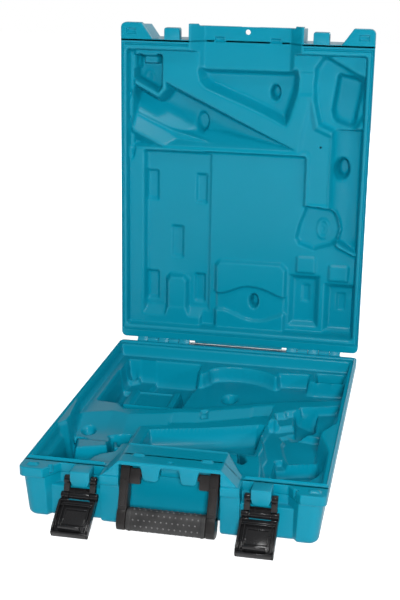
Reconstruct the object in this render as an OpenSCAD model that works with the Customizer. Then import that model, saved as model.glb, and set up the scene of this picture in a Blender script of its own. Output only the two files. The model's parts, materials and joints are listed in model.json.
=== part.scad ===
// Hard tool case: two double-walled halves on a through-rod hinge, a folding
// carry handle and two draw latches.
// Origin: centre of the flat underside. X runs across the case, Y towards the
// hinge, Z up. The lid is drawn standing open and the latches hang released.

/* [Case] */
// Width of the case across its flanges
case_w = 340; // [336:1:380]
// Depth of the case from its hinge edge to its front edge
case_d = 444; // [440:1:480]
// Height of the base, from the underside to the parting face
base_h = 60; // [58:1:70]
// Height of the lid, from the parting face to its outside
lid_h = 54; // [52:1:64]
// Thickness of each moulded skin
skin = 2.6; // [2:0.1:3.2]
// Radius of the flange corners in plan
flange_corner_r = 7; // [3:0.5:12]
// Radius of the wall corners in plan
wall_corner_r = 11; // [6:0.5:18]
// Height of the flange band on each half
flange_h = 11; // [6:0.5:14]
// How far the walls are set back from the flange
flange_step = 2; // [1:0.5:3]
// How far the side walls lean in over the height of a half
side_lean = 6; // [2:0.5:7]
// How far the front and rear walls lean in
front_lean = 3; // [1:0.5:5]
// Angle at which the open lid stands
lid_open = 90; // [80:1:100]

/* [Rim] */
// Width of the side rims
rim_side = 7.5; // [7:0.5:10]
// Width of the rear rim
rim_rear = 20; // [18:1:26]
// Width of the front rim
rim_front = 33; // [31:1:40]
// Width of the locating tongue
tongue_w = 3; // [2:0.5:3.5]
// Height of the locating tongue
tongue_h = 2.6; // [1.5:0.1:3.5]
// Space around the tongue in its groove
tongue_gap = 0.5; // [0.3:0.1:0.8]
// Width of the locating bosses
boss_w = 13; // [8:1:16]
// Length of the locating bosses, front to rear
boss_l = 7; // [5:0.5:9]
// Height of the locating bosses
boss_h = 2.4; // [1.5:0.1:4]
// Distance of the corner bosses from the middle of the case
corner_boss_x = 156; // [150:1:158]
// Distance of the corner bosses from the front of the case
corner_boss_setback = 11; // [9:0.5:13]
// Distance of the upper bosses from the middle of the case
platform_boss_x = 38; // [24:1:46]
// Distance of the upper bosses from the front of the raised face
platform_boss_setback = 16; // [13:0.5:20]
// Distance from the tray's edge to the locating tongue
tongue_inset = 3.2; // [2.5:0.1:4]
// Radius of the corner sockets
socket_r = 3.3; // [2.5:0.1:4]
// Distance of the corner sockets from the middle of the case
socket_x = 136; // [132:1:144]

/* [Handle bay] */
// How far the parting face is raised above the handle
platform_rise = 18; // [14:0.5:22]
// Width of the raised face at its top
platform_top_w = 114; // [112:1:120]
// Width of the raised face at its foot
platform_foot_w = 150; // [140:1:152]
// Length of the raised face from front to rear
platform_l = 48; // [44:1:56]
// How far the raised face is set back from the front
platform_setback = 2; // [1:0.5:4]
// Width of the bay that holds the handle
bay_w = 112; // [110:1:114]
// Depth of the bay
bay_d = 34; // [30:1:38]
// Thickness of the roof over the bay
bay_roof = 4; // [3:0.5:6]
// Width of each handle boss
handle_boss_w = 20; // [14:1:24]
// Length of each handle boss, front to rear
handle_boss_l = 16; // [14:0.5:18]
// Distance from the middle of the case to the inner face of a handle boss
handle_boss_x = 11; // [9:1:15]
// Radius of the padlock hole
padlock_r = 3.5; // [3:0.1:4]
// Distance of the padlock hole from the front
padlock_setback = 10; // [8:0.5:14]
// Width of the padlock notch in the lid
padlock_notch_w = 26; // [20:1:40]
// Depth of the padlock notch in the lid
padlock_notch_d = 20; // [18:1:24]
// Thickness of the web that the padlock goes through
padlock_web = 4; // [3:0.5:6]

/* [Handle] */
// Outside width of the handle
handle_w = 108; // [104:1:110]
// Thickness of each handle arm
arm_t = 10; // [7:0.5:12]
// Radius of the arm around its pivot
arm_hub_r = 8.5; // [7:0.5:9]
// Distance from the pivot to the middle of the grip
handle_reach = 51; // [46:1:52]
// Angle at which the handle leans out when it hangs
handle_lean = 21; // [18:1:24]
// Height of the pivot above the parting face
handle_pivot_h = 3; // [1:0.5:4]
// Distance of the pivot from the front of the case
handle_pivot_setback = 11; // [10:0.5:12]
// Radius of the handle's pivot pins
handle_pin_r = 4; // [3:0.25:4.5]
// Radial clearance of the pins and rods that turn
pivot_gap = 0.05; // [0.02:0.01:0.1]
// Depth of the grip, front to rear
grip_d = 22; // [18:1:24]
// Height of the grip
grip_h = 25; // [20:1:26]
// Corner radius of the grip
grip_r = 8; // [4:0.5:9]
// Radius of the bar inside the grip
grip_core_r = 6.5; // [4:0.5:7]

/* [Latches] */
// Distance of each latch from the middle of the case
latch_x = 100; // [99:0.5:103]
// Width of the latch lever
lever_w = 41; // [36:1:43]
// Length of the latch lever from its pin to its end
lever_l = 50; // [47:0.5:50]
// Thickness of the lever's plate and rims
lever_t = 2.2; // [1.6:0.1:3]
// Height of the lever's rims above its pin
lever_rim = 5; // [3:0.5:6]
// Radius of the lever's knuckles
lever_knuckle_r = 4; // [3.5:0.1:4.2]
// Angle at which the open lever leans out
lever_lean = 58; // [57:1:62]
// Width of the hook
hook_w = 24; // [18:1:30]
// Reach of the hook above the lever's pin
hook_reach = 11.5; // [10.5:0.5:13]
// Thickness of the hook
hook_t = 3; // [2:0.25:4]
// Distance between the link's two pins
link_l = 17.5; // [17:0.5:19]
// Angle at which the open link leans out
link_lean = 18; // [16:1:20]
// Travel of the link
link_swing = 10; // [8:1:12]
// Thickness of the link
link_t = 4; // [3:0.5:5]
// Radius of the latch's pins
latch_pin_r = 1.9; // [1.5:0.1:2.2]
// Side clearance between latch pieces
latch_gap = 0.4; // [0.3:0.1:0.6]
// Width of the lug that carries the link
lug_w = 22; // [18:1:24]
// Height of the lug below the parting face
lug_h = 18; // [17:0.5:19]
// Distance of the link's pin from the front of the case
link_pin_setback = 7; // [6:0.5:8]
// Depth of the link's pin below the parting face
link_pin_drop = 12; // [11:0.5:12.5]
// Depth of the latch notches
notch_d = 21; // [19:0.5:23]
// Distance from the middle of the case to the inner side of a notch
notch_in_x = 77; // [76.5:0.5:78]
// Width of a notch along its floor
notch_floor_w = 50; // [48:1:56]
// Width of a notch along the front
notch_mouth_w = 65; // [58:1:66]
// Depth of the recess below each latch
lower_notch_d = 10.5; // [8:0.5:14]
// Width of the lid's catches
catch_w = 21; // [16:1:22]
// Height of the lid's catches above the parting face
catch_h = 15.5; // [14:0.5:16]
// Distance of the catches from the front of the case
catch_setback = 6; // [5.5:0.5:7]
// Space between the closed hook and the catch
hook_gap = 0.5; // [0.4:0.1:0.8]

/* [Hinge] */
// Radius of the steel rod
rod_r = 1.75; // [1.5:0.25:2.5]
// Distance of the hinge axis behind the case
hinge_back = 4; // [4:0.5:5]
// Radius of the hinge knuckles
knuckle_r = 4.6; // [4:0.2:5]
// Space between knuckles and what turns past them
knuckle_gap = 0.5; // [0.4:0.1:0.8]
// Distance from the middle of the case to a group of knuckles
knuckle_group_x = 70; // [66:1:74]
// Width of a group of knuckles
knuckle_group_w = 76; // [60:1:80]
// Number of knuckles in a group
knuckle_count = 5; // [3:2:7]
// Height of the knuckle roots
knuckle_root_h = 9; // [7:0.5:12]
// Half the width of the rear strip between the groups
strip_half_w = 63; // [55:1:65]
// Thickness of the rear strip
strip_t = 7; // [4:0.5:8]

/* [Tray] */
// Depth of the base tray's upper level
base_tray_depth = 16; // [12:1:20]
// Depth of the lid tray's upper level
lid_tray_depth = 12; // [9:1:14]
// Depth of the shallow lid recesses
lid_panel_depth = 24; // [20:1:30]
// Depth of the deep lid recesses
lid_pocket_depth = 42; // [34:1:44]
// Depth of the base tray's middle level
base_panel_depth = 36; // [30:1:42]
// Height of the block in the rear left pocket
rear_block_h = 22; // [18:1:30]
// Height of the block in the front left pocket
front_block_h = 32; // [24:1:36]
// Radius of the body trough
trough_r = 44; // [40:1:50]
// Depth of the body trough
trough_depth = 46; // [40:1:48]
// Radius of the dimples that weld the two skins together
dimple_r = 8; // [5:0.5:9]
// Radius of the moulding vent in the lid
vent_r = 1.2; // [1:0.1:1.5]

/* [Hidden] */
$fn = 48;
far = 400;

shell_colour = [0.02, 0.55, 0.66];
latch_colour = [0.06, 0.06, 0.06];
handle_colour = [0.2, 0.19, 0.19];
grip_colour = [0.13, 0.13, 0.13];
steel_colour = [0.75, 0.76, 0.78];

front_y = -case_d / 2;
rear_y = case_d / 2;
hinge_y = rear_y + hinge_back;
cavity_x = case_w / 2 - rim_side;
cavity_front = front_y + rim_front;
cavity_rear = rear_y - rim_rear;
platform_front = front_y + platform_setback;
platform_rear = platform_front + platform_l;
bay_back_block = platform_rear + skin + 1;
deepest_base = base_h - 2 * skin;
deepest_lid = lid_h - 2 * skin;
boss_y = front_y + corner_boss_setback;
platform_boss_y = platform_front + platform_boss_setback;
tongue_x = cavity_x + tongue_inset;
tongue_front = cavity_front - 2 * tongue_inset;
tongue_rear = cavity_rear + 2 * tongue_inset;
padlock_y = front_y + padlock_setback;
handle_pivot_y = front_y + handle_pivot_setback;
handle_pivot_z = base_h + handle_pivot_h;
handle_pin_end = handle_boss_x + 2;
link_pin_y = front_y + link_pin_setback;
link_pin_z = base_h - link_pin_drop;
link_shut = link_lean + link_swing;
link_half_w = lever_w / 2 - lever_t - latch_gap;
link_barrel_w = 23;
ear_r = 5;
catch_front = front_y + catch_setback;
lever_pin_open_y = link_pin_y - link_l * sin(link_lean);
lever_pin_open_z = link_pin_z - link_l * cos(link_lean);
lever_pin_shut_z = link_pin_z - link_l * cos(link_shut);
hook_u = base_h + catch_h + hook_gap - lever_pin_shut_z;
knuckle_pitch = knuckle_group_w / knuckle_count;
knuckle_w = knuckle_pitch - knuckle_gap;

// Tray outlines: [x, distance from the rear edge of the case], anticlockwise
// seen from inside the lid. The same tool lies between both halves. They are
// drawn on a case this wide and this deep, and follow its width and depth.
drawn_w = 340;
drawn_d = 444;
lid_corner_pocket = [[-159, 350], [-111, 350], [-111, 408], [-159, 408]];
lid_trough = [[-151, 302], [-144, 277], [79, 277], [79, 284], [-111, 369], [-151, 369]];
lid_nose = [[-64, 372], [53, 315], [66, 332], [75, 380], [69, 388], [-53, 386]];
lid_plug_recess = [
    [99, 316], [145, 296], [153, 314], [160, 374], [157, 384], [105, 408], [93, 396], [90, 366]
];
lid_plug_pocket = [
    [119, 324], [141, 314], [151, 321], [157, 367], [154, 377], [131, 390], [121, 386], [115, 340]
];
lid_channel = [[120, 144], [152, 144], [152, 304], [120, 304]];
lid_centre_panel = [[-37, 122], [90, 122], [90, 272], [-37, 272]];
lid_left_panel = [[-140, 42], [-41, 42], [-41, 272], [-140, 272]];
lid_grip_recess = [[-36, 30], [64, 30], [64, 118], [-36, 118]];
lid_grip_pocket = [[-36, 50], [-5, 45], [29, 38], [62, 51], [62, 74], [29, 87], [2, 87], [-36, 76]];
lid_battery_recess = [[74, 165], [77, 153], [104, 143], [115, 147], [115, 208], [84, 208]];
lid_box_recess_a = [[70, 36], [114, 36], [114, 107], [70, 107]];
lid_box_recess_b = [[118, 30], [157, 30], [157, 96], [118, 96]];
lid_dimples = [[-57, 314], [45, 356], [136, 257], [21, 62]];
lid_vent = [104, 283];

base_rear_left = [[-137, 32], [-46, 32], [-46, 190], [-137, 190]];
base_front_left = [[-152, 258], [-78, 258], [-78, 400], [-152, 400]];
base_centre = [[-35, 75], [112, 75], [112, 190], [-35, 190]];
base_grip = [[-30, 32], [62, 32], [62, 74], [-30, 74]];
base_cable = [[72, 32], [106, 32], [106, 74], [72, 74]];
base_rear_right = [[122, 32], [156, 32], [156, 162], [122, 162]];
base_right = [[98, 178], [156, 178], [156, 256], [98, 256]];
base_front_right = [[80, 284], [156, 284], [156, 396], [80, 396]];
base_dimple = [6, 100];
trough_left = [-76, 258];
trough_right = [78, 258];
block_rear_left = [[-115, 106], [-64, 106], [-64, 166], [-115, 166]];
block_front_left = [[-140, 292], [-108, 292], [-108, 336], [-140, 336]];

// How far the latches, and what lies between them, move out on a wider case
latch_shift = latch_x * (case_w / drawn_w - 1);
// How far what is placed by the case's sides moves out
side_shift = (case_w - drawn_w) / 2;
latch_place = latch_x + latch_shift;
notch_place = notch_in_x + latch_shift;
foot_half = platform_foot_w / 2 + latch_shift;
top_half = platform_top_w / 2 + latch_shift;
bay_half = bay_w / 2 + latch_shift;
handle_half = handle_w / 2 + latch_shift;
knuckle_start = knuckle_group_x + side_shift;
rod_l = 2 * (knuckle_start + knuckle_group_w);

function unit(v) = v / norm(v);
function edge_out(a, b) = unit([b[1] - a[1], a[0] - b[0]]);
function before(i, n) = (i + n - 1) % n;
function after(i, n) = (i + 1) % n;

// An outline's corners moved out by g, with mitred corners
function grown(pts, g) = [
    for (i = [0 : len(pts) - 1])
        let (n = len(pts))
        let (a = edge_out(pts[before(i, n)], pts[i]))
        let (b = edge_out(pts[i], pts[after(i, n)]))
        pts[i] + (a + b) * g / (1 + a * b)
];

// A point of a tray outline, placed on a case of the chosen width and depth
function on_case(p) = [p[0] * case_w / drawn_w, p[1] * case_d / drawn_d];
function outline_on_case(pts, g) = grown([for (p = pts) on_case(p)], g);

// ---- shared plan shapes ----

module rounded_rect(w, d, r) {
    square([w - 2 * r, d], center = true);
    square([w, d - 2 * r], center = true);
    for (sx = [-1, 1], sy = [-1, 1])
        translate([sx * (w / 2 - r), sy * (d / 2 - r)])
            circle(r);
}

// Profile in the YZ plane, extruded along X from x0 to x1
module along_x(x0, x1) {
    translate([x0, 0, 0])
        rotate([90, 0, 90])
            linear_extrude(x1 - x0)
                children();
}

// Profile in the XZ plane, extruded along Y from y0 to y1
module along_y(y0, y1) {
    translate([0, y1, 0])
        rotate([90, 0, 0])
            linear_extrude(y1 - y0)
                children();
}

// A tray recess: outline in [x, distance from the rear], sunk from the parting
// face to a depth, and grown by g all round
module recess(outline, depth, g = 0) {
    translate([0, rear_y, -1])
        mirror([0, 1, 0])
            linear_extrude(depth + g + 1)
                polygon(outline_on_case(outline, g));
}

module dimple(place, depth, g = 0) {
    at = on_case(place);
    translate([at[0], rear_y - at[1], -1])
        cylinder(r = dimple_r + g, h = depth + g + 1);
}

module block_above(outline, depth, height, g = 0) {
    translate([0, rear_y, depth - height + g])
        mirror([0, 1, 0])
            linear_extrude(height + skin)
                polygon(outline_on_case(outline, -g));
}

// ---- both halves, drawn with the parting face at z = 0 and the outside at z = h ----

module half_outside(h, g = 0) {
    intersection() {
        along_y(front_y, rear_y)
            polygon([
                [-case_w / 2 + flange_step + g, g],
                [case_w / 2 - flange_step - g, g],
                [case_w / 2 - flange_step - side_lean - g, h - g],
                [-case_w / 2 + flange_step + side_lean + g, h - g]
            ]);
        along_x(-case_w / 2, case_w / 2)
            polygon([
                [front_y + flange_step + g, g],
                [rear_y - flange_step - g, g],
                [rear_y - flange_step - front_lean - g, h - g],
                [front_y + flange_step + front_lean + g, h - g]
            ]);
        linear_extrude(h)
            rounded_rect(case_w - 2 * (flange_step + g), case_d - 2 * (flange_step + g), wall_corner_r);
    }
}

module flange_band() {
    linear_extrude(flange_h)
        rounded_rect(case_w, case_d, flange_corner_r);
}

// Notch in the front for one latch, from depth z0 to z1
module latch_notch(depth, z0, z1, g = 0) {
    slope = notch_mouth_w - notch_floor_w;
    outline = [
        [notch_place, front_y - slope],
        [notch_place + notch_mouth_w + slope * slope / notch_d, front_y - slope],
        [notch_place + notch_mouth_w - slope * depth / notch_d, front_y + depth],
        [notch_place, front_y + depth]
    ];
    translate([0, 0, z0 - g])
        linear_extrude(z1 - z0 + 2 * g)
            polygon(grown(outline, g));
}

module both_sides() {
    children();
    mirror([1, 0, 0])
        children();
}

module platform(gap = 0) {
    top = platform_rise + gap;
    slope = (foot_half - top_half) / platform_rise;
    foot = foot_half + gap;
    along_y(platform_front - (gap > 0 ? far / 20 : 0), platform_rear + gap)
        polygon([[-foot, 0], [foot, 0], [foot - slope * top, top], [-foot + slope * top, top]]);
}

module tongue_runs(h, gap) {
    w = tongue_w + 2 * gap;
    side_x = tongue_x - gap;
    length = tongue_rear - tongue_front + tongue_w + 2 * gap;
    inner = foot_half + 2 - gap;
    both_sides() {
        translate([side_x, tongue_front - gap, 0])
            cube([w, length, h]);
        translate([inner, tongue_front - gap, 0])
            cube([side_x - inner + w, w, h]);
    }
    translate([-side_x, tongue_rear - gap, 0])
        cube([2 * side_x, w, h]);
}

module corner_bosses(h, gap) {
    both_sides()
        translate([corner_boss_x + side_shift - boss_w / 2 - gap, boss_y - boss_l / 2 - gap, 0])
            cube([boss_w + 2 * gap, boss_l + 2 * gap, h]);
}

module platform_bosses(h, gap) {
    both_sides()
        translate([platform_boss_x - boss_w / 2 - gap, platform_boss_y - boss_l / 2 - gap, 0])
            cube([boss_w + 2 * gap, boss_l + 2 * gap, h]);
}

// ---- hinge ----

function knuckle_x(i) = knuckle_start + i * knuckle_pitch + knuckle_gap / 2;

// Knuckles with the given parity; up is +1 for the lid and -1 for the base
module knuckles(parity, up) {
    for (i = [0 : knuckle_count - 1])
        if (i % 2 == parity)
            both_sides()
                along_x(knuckle_x(i), knuckle_x(i) + knuckle_w) {
                    translate([hinge_y, 0])
                        circle(knuckle_r);
                    translate([rear_y - flange_step - 1, up > 0 ? 0 : -knuckle_root_h])
                        square([hinge_back + flange_step + 1, knuckle_root_h]);
                }
}

// Room for the other half's knuckles
module knuckle_room(parity) {
    for (i = [0 : knuckle_count - 1])
        if (i % 2 == parity)
            both_sides()
                along_x(knuckle_x(i) - knuckle_gap, knuckle_x(i) + knuckle_w + knuckle_gap)
                    translate([hinge_y, 0])
                        circle(knuckle_r + knuckle_gap);
}

module rod_bore() {
    along_x(-rod_l / 2 - 1, rod_l / 2 + 1)
        translate([hinge_y, 0])
            circle(rod_r + pivot_gap);
}

// Strip behind the rod; near is its distance from the parting face
module rear_strip(near) {
    along_x(-strip_half_w - side_shift, strip_half_w + side_shift)
        translate([rear_y - flange_step - 1, near])
            square([flange_step + 1 + hinge_back, strip_t]);
}

// ---- base ----

module base_cavity(g = 0) {
    difference() {
        translate([-cavity_x - g, cavity_front - g, -1])
            cube([2 * (cavity_x + g), cavity_rear - cavity_front + 2 * g, base_tray_depth + g + 1]);
        translate([-foot_half - 3 + g, front_y, -2])
            cube([2 * (foot_half + 3 - g), bay_back_block - front_y - g, far]);
    }
}

module base_trough(g = 0) {
    intersection() {
        along_x(on_case(trough_left)[0] - g, on_case(trough_right)[0] + g)
            translate([rear_y - on_case(trough_left)[1], trough_depth - trough_r])
                circle(trough_r + g);
        translate([-far / 2, -far / 2, -1])
            cube([far, far, trough_depth + g + 1]);
    }
}

module base_recesses(g = 0) {
    base_cavity(g);
    base_trough(g);
    difference() {
        recess(base_rear_left, deepest_base, g);
        block_above(block_rear_left, deepest_base, rear_block_h, g);
    }
    difference() {
        recess(base_front_left, deepest_base, g);
        block_above(block_front_left, deepest_base, front_block_h, g);
    }
    recess(base_centre, base_panel_depth, g);
    recess(base_grip, base_panel_depth - 8, g);
    recess(base_cable, base_panel_depth, g);
    recess(base_rear_right, deepest_base, g);
    recess(base_right, deepest_base, g);
    recess(base_front_right, deepest_base, g);
    dimple(base_dimple, deepest_base, g);
}

module bay(g = 0) {
    translate([-bay_half - g, front_y - far / 20, -platform_rise + bay_roof - g])
        cube([2 * (bay_half + g), far / 20 + bay_d + g, base_h + platform_rise]);
}

module base_notches(g = 0) {
    both_sides() {
        latch_notch(notch_d, -platform_rise, lug_h + 4, g);
        latch_notch(lower_notch_d, 0, base_h + 1, g);
    }
}

module base_hollow() {
    difference() {
        half_outside(base_h, skin);
        base_recesses(skin);
        bay(skin);
        base_notches(skin);
    }
}

module handle_bosses() {
    both_sides()
        along_x(handle_boss_x, handle_boss_x + handle_boss_w)
            translate([handle_pivot_y, 0])
                difference() {
                    translate([-handle_boss_l / 2, -platform_rise + bay_roof - 1])
                        square([handle_boss_l, platform_rise - bay_roof + 1 + 4]);
                    translate([0, -handle_pivot_h])
                        circle(handle_pin_r + pivot_gap);
                }
}

module latch_lugs() {
    both_sides()
        along_x(latch_place - lug_w / 2, latch_place + lug_w / 2)
            difference() {
                translate([front_y + 1, 0])
                    square([notch_d, lug_h]);
                translate([link_pin_y, link_pin_drop])
                    circle(latch_pin_r + pivot_gap);
            }
}

// The base, drawn with its parting face at z = 0 and its underside at z = base_h
module base_upside_down() {
    difference() {
        union() {
            difference() {
                union() {
                    half_outside(base_h);
                    flange_band();
                }
                base_notches();
            }
            mirror([0, 0, 1])
                platform();
            latch_lugs();
        }
        base_recesses();
        bay();
        base_hollow();
        knuckle_room(0);
        both_sides()
            translate([socket_x + side_shift, boss_y, -1])
                cylinder(r = socket_r, h = 9);
        translate([0, padlock_y, -platform_rise - 1])
            cylinder(r = padlock_r, h = bay_roof + 2);
    }
    mirror([0, 0, 1]) {
        tongue_runs(tongue_h, 0);
        corner_bosses(boss_h, 0);
        translate([0, 0, platform_rise])
            platform_bosses(boss_h, 0);
    }
    handle_bosses();
    difference() {
        mirror([0, 0, 1])
            knuckles(1, -1);
        rod_bore();
    }
    rear_strip(rod_r + 1);
}

module base_shell() {
    color(shell_colour)
        translate([0, 0, base_h])
            mirror([0, 0, 1])
                base_upside_down();
}

// ---- lid ----

module lid_recesses(g = 0) {
    translate([-cavity_x - g, cavity_front - g, -1])
        cube([2 * (cavity_x + g), cavity_rear - cavity_front + 2 * g, lid_tray_depth + g + 1]);
    recess(lid_corner_pocket, lid_pocket_depth, g);
    recess(lid_trough, lid_pocket_depth, g);
    recess(lid_nose, lid_pocket_depth - 6, g);
    recess(lid_plug_recess, lid_panel_depth, g);
    recess(lid_plug_pocket, lid_pocket_depth, g);
    recess(lid_channel, lid_panel_depth + 6, g);
    recess(lid_centre_panel, lid_panel_depth, g);
    recess(lid_left_panel, lid_panel_depth - 4, g);
    recess(lid_grip_recess, lid_panel_depth - 4, g);
    recess(lid_grip_pocket, lid_pocket_depth - 8, g);
    recess(lid_battery_recess, lid_panel_depth, g);
    recess(lid_box_recess_a, lid_panel_depth - 4, g);
    recess(lid_box_recess_b, lid_panel_depth - 4, g);
    for (place = lid_dimples)
        dimple(place, deepest_lid, g);
}

module padlock_notch(g = 0) {
    z0 = platform_rise + 1 + padlock_web;
    translate([-padlock_notch_w / 2 - g, front_y - 1, z0 - g])
        cube([padlock_notch_w + 2 * g, padlock_notch_d + 1 + g, lid_h]);
}

module lid_notches(g = 0) {
    both_sides()
        latch_notch(notch_d, -1, lid_h + 1, g);
}

module lid_hollow() {
    difference() {
        half_outside(lid_h, skin);
        lid_recesses(skin);
        platform(skin + 1);
        lid_notches(skin);
        padlock_notch(skin);
    }
}

module lid_catches() {
    both_sides()
        translate([latch_place - catch_w / 2, catch_front, 0])
            cube([catch_w, notch_d - catch_setback + 1, catch_h]);
}

// The lid with its parting face at z = 0 and its outside at z = lid_h
module lid_closed() {
    difference() {
        union() {
            half_outside(lid_h);
            flange_band();
        }
        lid_notches();
        lid_recesses();
        platform(1);
        lid_hollow();
        padlock_notch();
        knuckle_room(1);
        tongue_grooves();
        translate([0, padlock_y, 0])
            cylinder(r = padlock_r, h = lid_h / 2);
        translate([on_case(lid_vent)[0], rear_y - on_case(lid_vent)[1], 0])
            cylinder(r = vent_r, h = lid_tray_depth + skin + 1);
    }
    lid_catches();
    difference() {
        knuckles(0, 1);
        rod_bore();
    }
    rear_strip(rod_r + 1);
}

module tongue_grooves() {
    translate([0, 0, -1]) {
        tongue_runs(tongue_h + tongue_gap + 1, tongue_gap);
        corner_bosses(boss_h + tongue_gap + 1, tongue_gap);
    }
    translate([0, 0, platform_rise])
        platform_bosses(boss_h + tongue_gap + 1, tongue_gap);
}

module lid_shell() {
    color(shell_colour)
        translate([0, hinge_y, base_h])
            rotate([-lid_open, 0, 0])
                translate([0, -hinge_y, 0])
                    lid_closed();
}

module hinge_rod() {
    color(steel_colour)
        translate([-rod_l / 2, hinge_y, base_h])
            rotate([0, 90, 0])
                cylinder(r = rod_r, h = rod_l);
}

// ---- handle, drawn hanging straight down from its pivot ----

module handle_pose() {
    translate([0, handle_pivot_y, handle_pivot_z])
        rotate([-handle_lean, 0, 0])
            children();
}

module grip_section() {
    rounded_rect(grip_d, grip_h, grip_r);
}

module handle_frame() {
    inner = handle_half - arm_t;
    color(handle_colour)
        handle_pose() {
            both_sides() {
                along_x(inner, handle_half) {
                    circle(arm_hub_r);
                    translate([-arm_hub_r, -handle_reach])
                        square([2 * arm_hub_r, handle_reach]);
                    translate([0, -handle_reach])
                        grip_section();
                }
                along_x(handle_pin_end, inner + 1)
                    circle(handle_pin_r);
                along_x(handle_boss_x + handle_boss_w + 1.5, inner + 1)
                    translate([-handle_pin_r, -handle_pin_r - 9])
                        square([2 * handle_pin_r, 9 + handle_pin_r]);
            }
            along_x(-inner - 1, inner + 1)
                translate([0, -handle_reach])
                    circle(grip_core_r);
        }
}

module handle_grip() {
    inner = handle_half - arm_t;
    color(grip_colour)
        handle_pose()
            along_x(-inner, inner)
                translate([0, -handle_reach])
                    difference() {
                        grip_section();
                        circle(grip_core_r + pivot_gap);
                    }
}

// ---- latches, drawn for the right side ----

// Link frame: origin at the pin in the base, -Z towards the lever's pin
module link_pose() {
    translate([latch_place, link_pin_y, link_pin_z])
        rotate([-link_lean, 0, 0])
            children();
}

// Lever frame: origin at the lever's pin, +Z along the lever, +Y its inner side
module lever_pose() {
    translate([latch_place, lever_pin_open_y, lever_pin_open_z])
        rotate([180 - lever_lean, 0, 0])
            children();
}

module link() {
    ear_in = lug_w / 2 + latch_gap;
    plate_start = 9;
    plate_end = link_l - lever_knuckle_r - latch_gap;
    ear_half = 3.2;
    link_pose() {
        difference() {
            union() {
                both_sides()
                    along_x(ear_in, link_half_w) {
                        circle(ear_r);
                        translate([-ear_half, -plate_end])
                            square([2 * ear_half, plate_end]);
                    }
                along_x(-link_half_w, link_half_w)
                    translate([-link_t / 2, -plate_end])
                        square([link_t, plate_end - plate_start]);
                along_x(-link_barrel_w / 2, link_barrel_w / 2) {
                    translate([-link_t / 2, -link_l])
                        square([link_t, link_l - plate_start]);
                    translate([0, -link_l])
                        circle(lever_knuckle_r);
                }
            }
            along_x(-far / 2, far / 2)
                circle(latch_pin_r + pivot_gap);
            along_x(-far / 2, far / 2)
                translate([0, -link_l])
                    circle(latch_pin_r + pivot_gap);
        }
    }
}

module lever() {
    half = lever_w / 2;
    back = lever_knuckle_r;
    plate_start = lever_knuckle_r + 2 * latch_gap;
    lever_pose()
        difference() {
            union() {
                // plate
                along_x(-half, half)
                    translate([-back, plate_start])
                        square([lever_t, lever_l - plate_start]);
                both_sides() {
                    // knuckle and its share of the plate
                    along_x(link_barrel_w / 2 + latch_gap, half) {
                        circle(lever_knuckle_r);
                        translate([-back, 0])
                            square([lever_t, plate_start + 1]);
                    }
                    // side rim
                    along_x(half - lever_t, half)
                        translate([-back, plate_start])
                            square([back + lever_rim, lever_l - plate_start]);
                }
                // stiffening ridges
                for (u = [18, 27])
                    along_x(-half + 1, half - 1)
                        translate([-back, u])
                            square([lever_t + 1.2, 2]);
                // end bar
                along_x(-half, half)
                    translate([-back, lever_l - lever_t])
                        square([back + lever_rim - 1, lever_t]);
                // hook
                along_x(-hook_w / 2, hook_w / 2)
                    translate([-back, hook_u])
                        square([back + hook_reach, hook_t]);
            }
            along_x(-half - 1, half + 1)
                circle(latch_pin_r + pivot_gap);
        }
}

module base_pin() {
    link_pose()
        along_x(-link_half_w, link_half_w)
            circle(latch_pin_r);
}

module lever_pin() {
    lever_pose()
        along_x(-lever_w / 2 + 0.5, lever_w / 2 - 0.5)
            circle(latch_pin_r);
}

module right_link() {
    color(latch_colour)
        link();
}

module right_lever() {
    color(latch_colour)
        lever();
}

module right_base_pin() {
    color(steel_colour)
        base_pin();
}

module right_lever_pin() {
    color(steel_colour)
        lever_pin();
}

module left_link() {
    mirror([1, 0, 0])
        right_link();
}

module left_lever() {
    mirror([1, 0, 0])
        right_lever();
}

module left_base_pin() {
    mirror([1, 0, 0])
        right_base_pin();
}

module left_lever_pin() {
    mirror([1, 0, 0])
        right_lever_pin();
}

base_shell();
lid_shell();
hinge_rod();
handle_frame();
handle_grip();
left_link();
left_lever();
left_base_pin();
left_lever_pin();
right_link();
right_lever();
right_base_pin();
right_lever_pin();
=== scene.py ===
"""Hard tool case: two blow-moulded halves, a carry handle and two draw latches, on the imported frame."""
import json
import math
from functools import partial

import bmesh
import bpy
import numpy as np
from mathutils import Matrix, Vector


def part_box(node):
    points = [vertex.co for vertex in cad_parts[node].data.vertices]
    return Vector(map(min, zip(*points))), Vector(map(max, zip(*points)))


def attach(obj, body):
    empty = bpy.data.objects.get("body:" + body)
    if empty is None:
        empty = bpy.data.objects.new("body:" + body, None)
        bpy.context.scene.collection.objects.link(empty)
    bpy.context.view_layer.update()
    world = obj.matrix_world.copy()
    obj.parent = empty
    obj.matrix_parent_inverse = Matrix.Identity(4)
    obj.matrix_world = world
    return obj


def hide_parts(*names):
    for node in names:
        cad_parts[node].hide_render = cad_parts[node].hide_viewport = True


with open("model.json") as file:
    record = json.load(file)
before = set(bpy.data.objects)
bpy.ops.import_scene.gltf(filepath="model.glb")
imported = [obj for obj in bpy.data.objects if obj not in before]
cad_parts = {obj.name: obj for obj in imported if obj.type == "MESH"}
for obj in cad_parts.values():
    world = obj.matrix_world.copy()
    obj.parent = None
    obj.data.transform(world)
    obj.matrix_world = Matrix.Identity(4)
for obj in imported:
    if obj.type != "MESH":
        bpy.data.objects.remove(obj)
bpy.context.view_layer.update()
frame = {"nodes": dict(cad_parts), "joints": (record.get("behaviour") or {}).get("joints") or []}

bl_info = {
    "name": "Hard tool case",
    "version": (1, 0, 0),
    "blender": (4, 5, 0),
    "location": "View3D > Sidebar > Tool Case",
    "description": "Builds the mouldings, handle, latches and stage of a hard tool case",
    "category": "Add Mesh",
}

MM = 0.001

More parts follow.
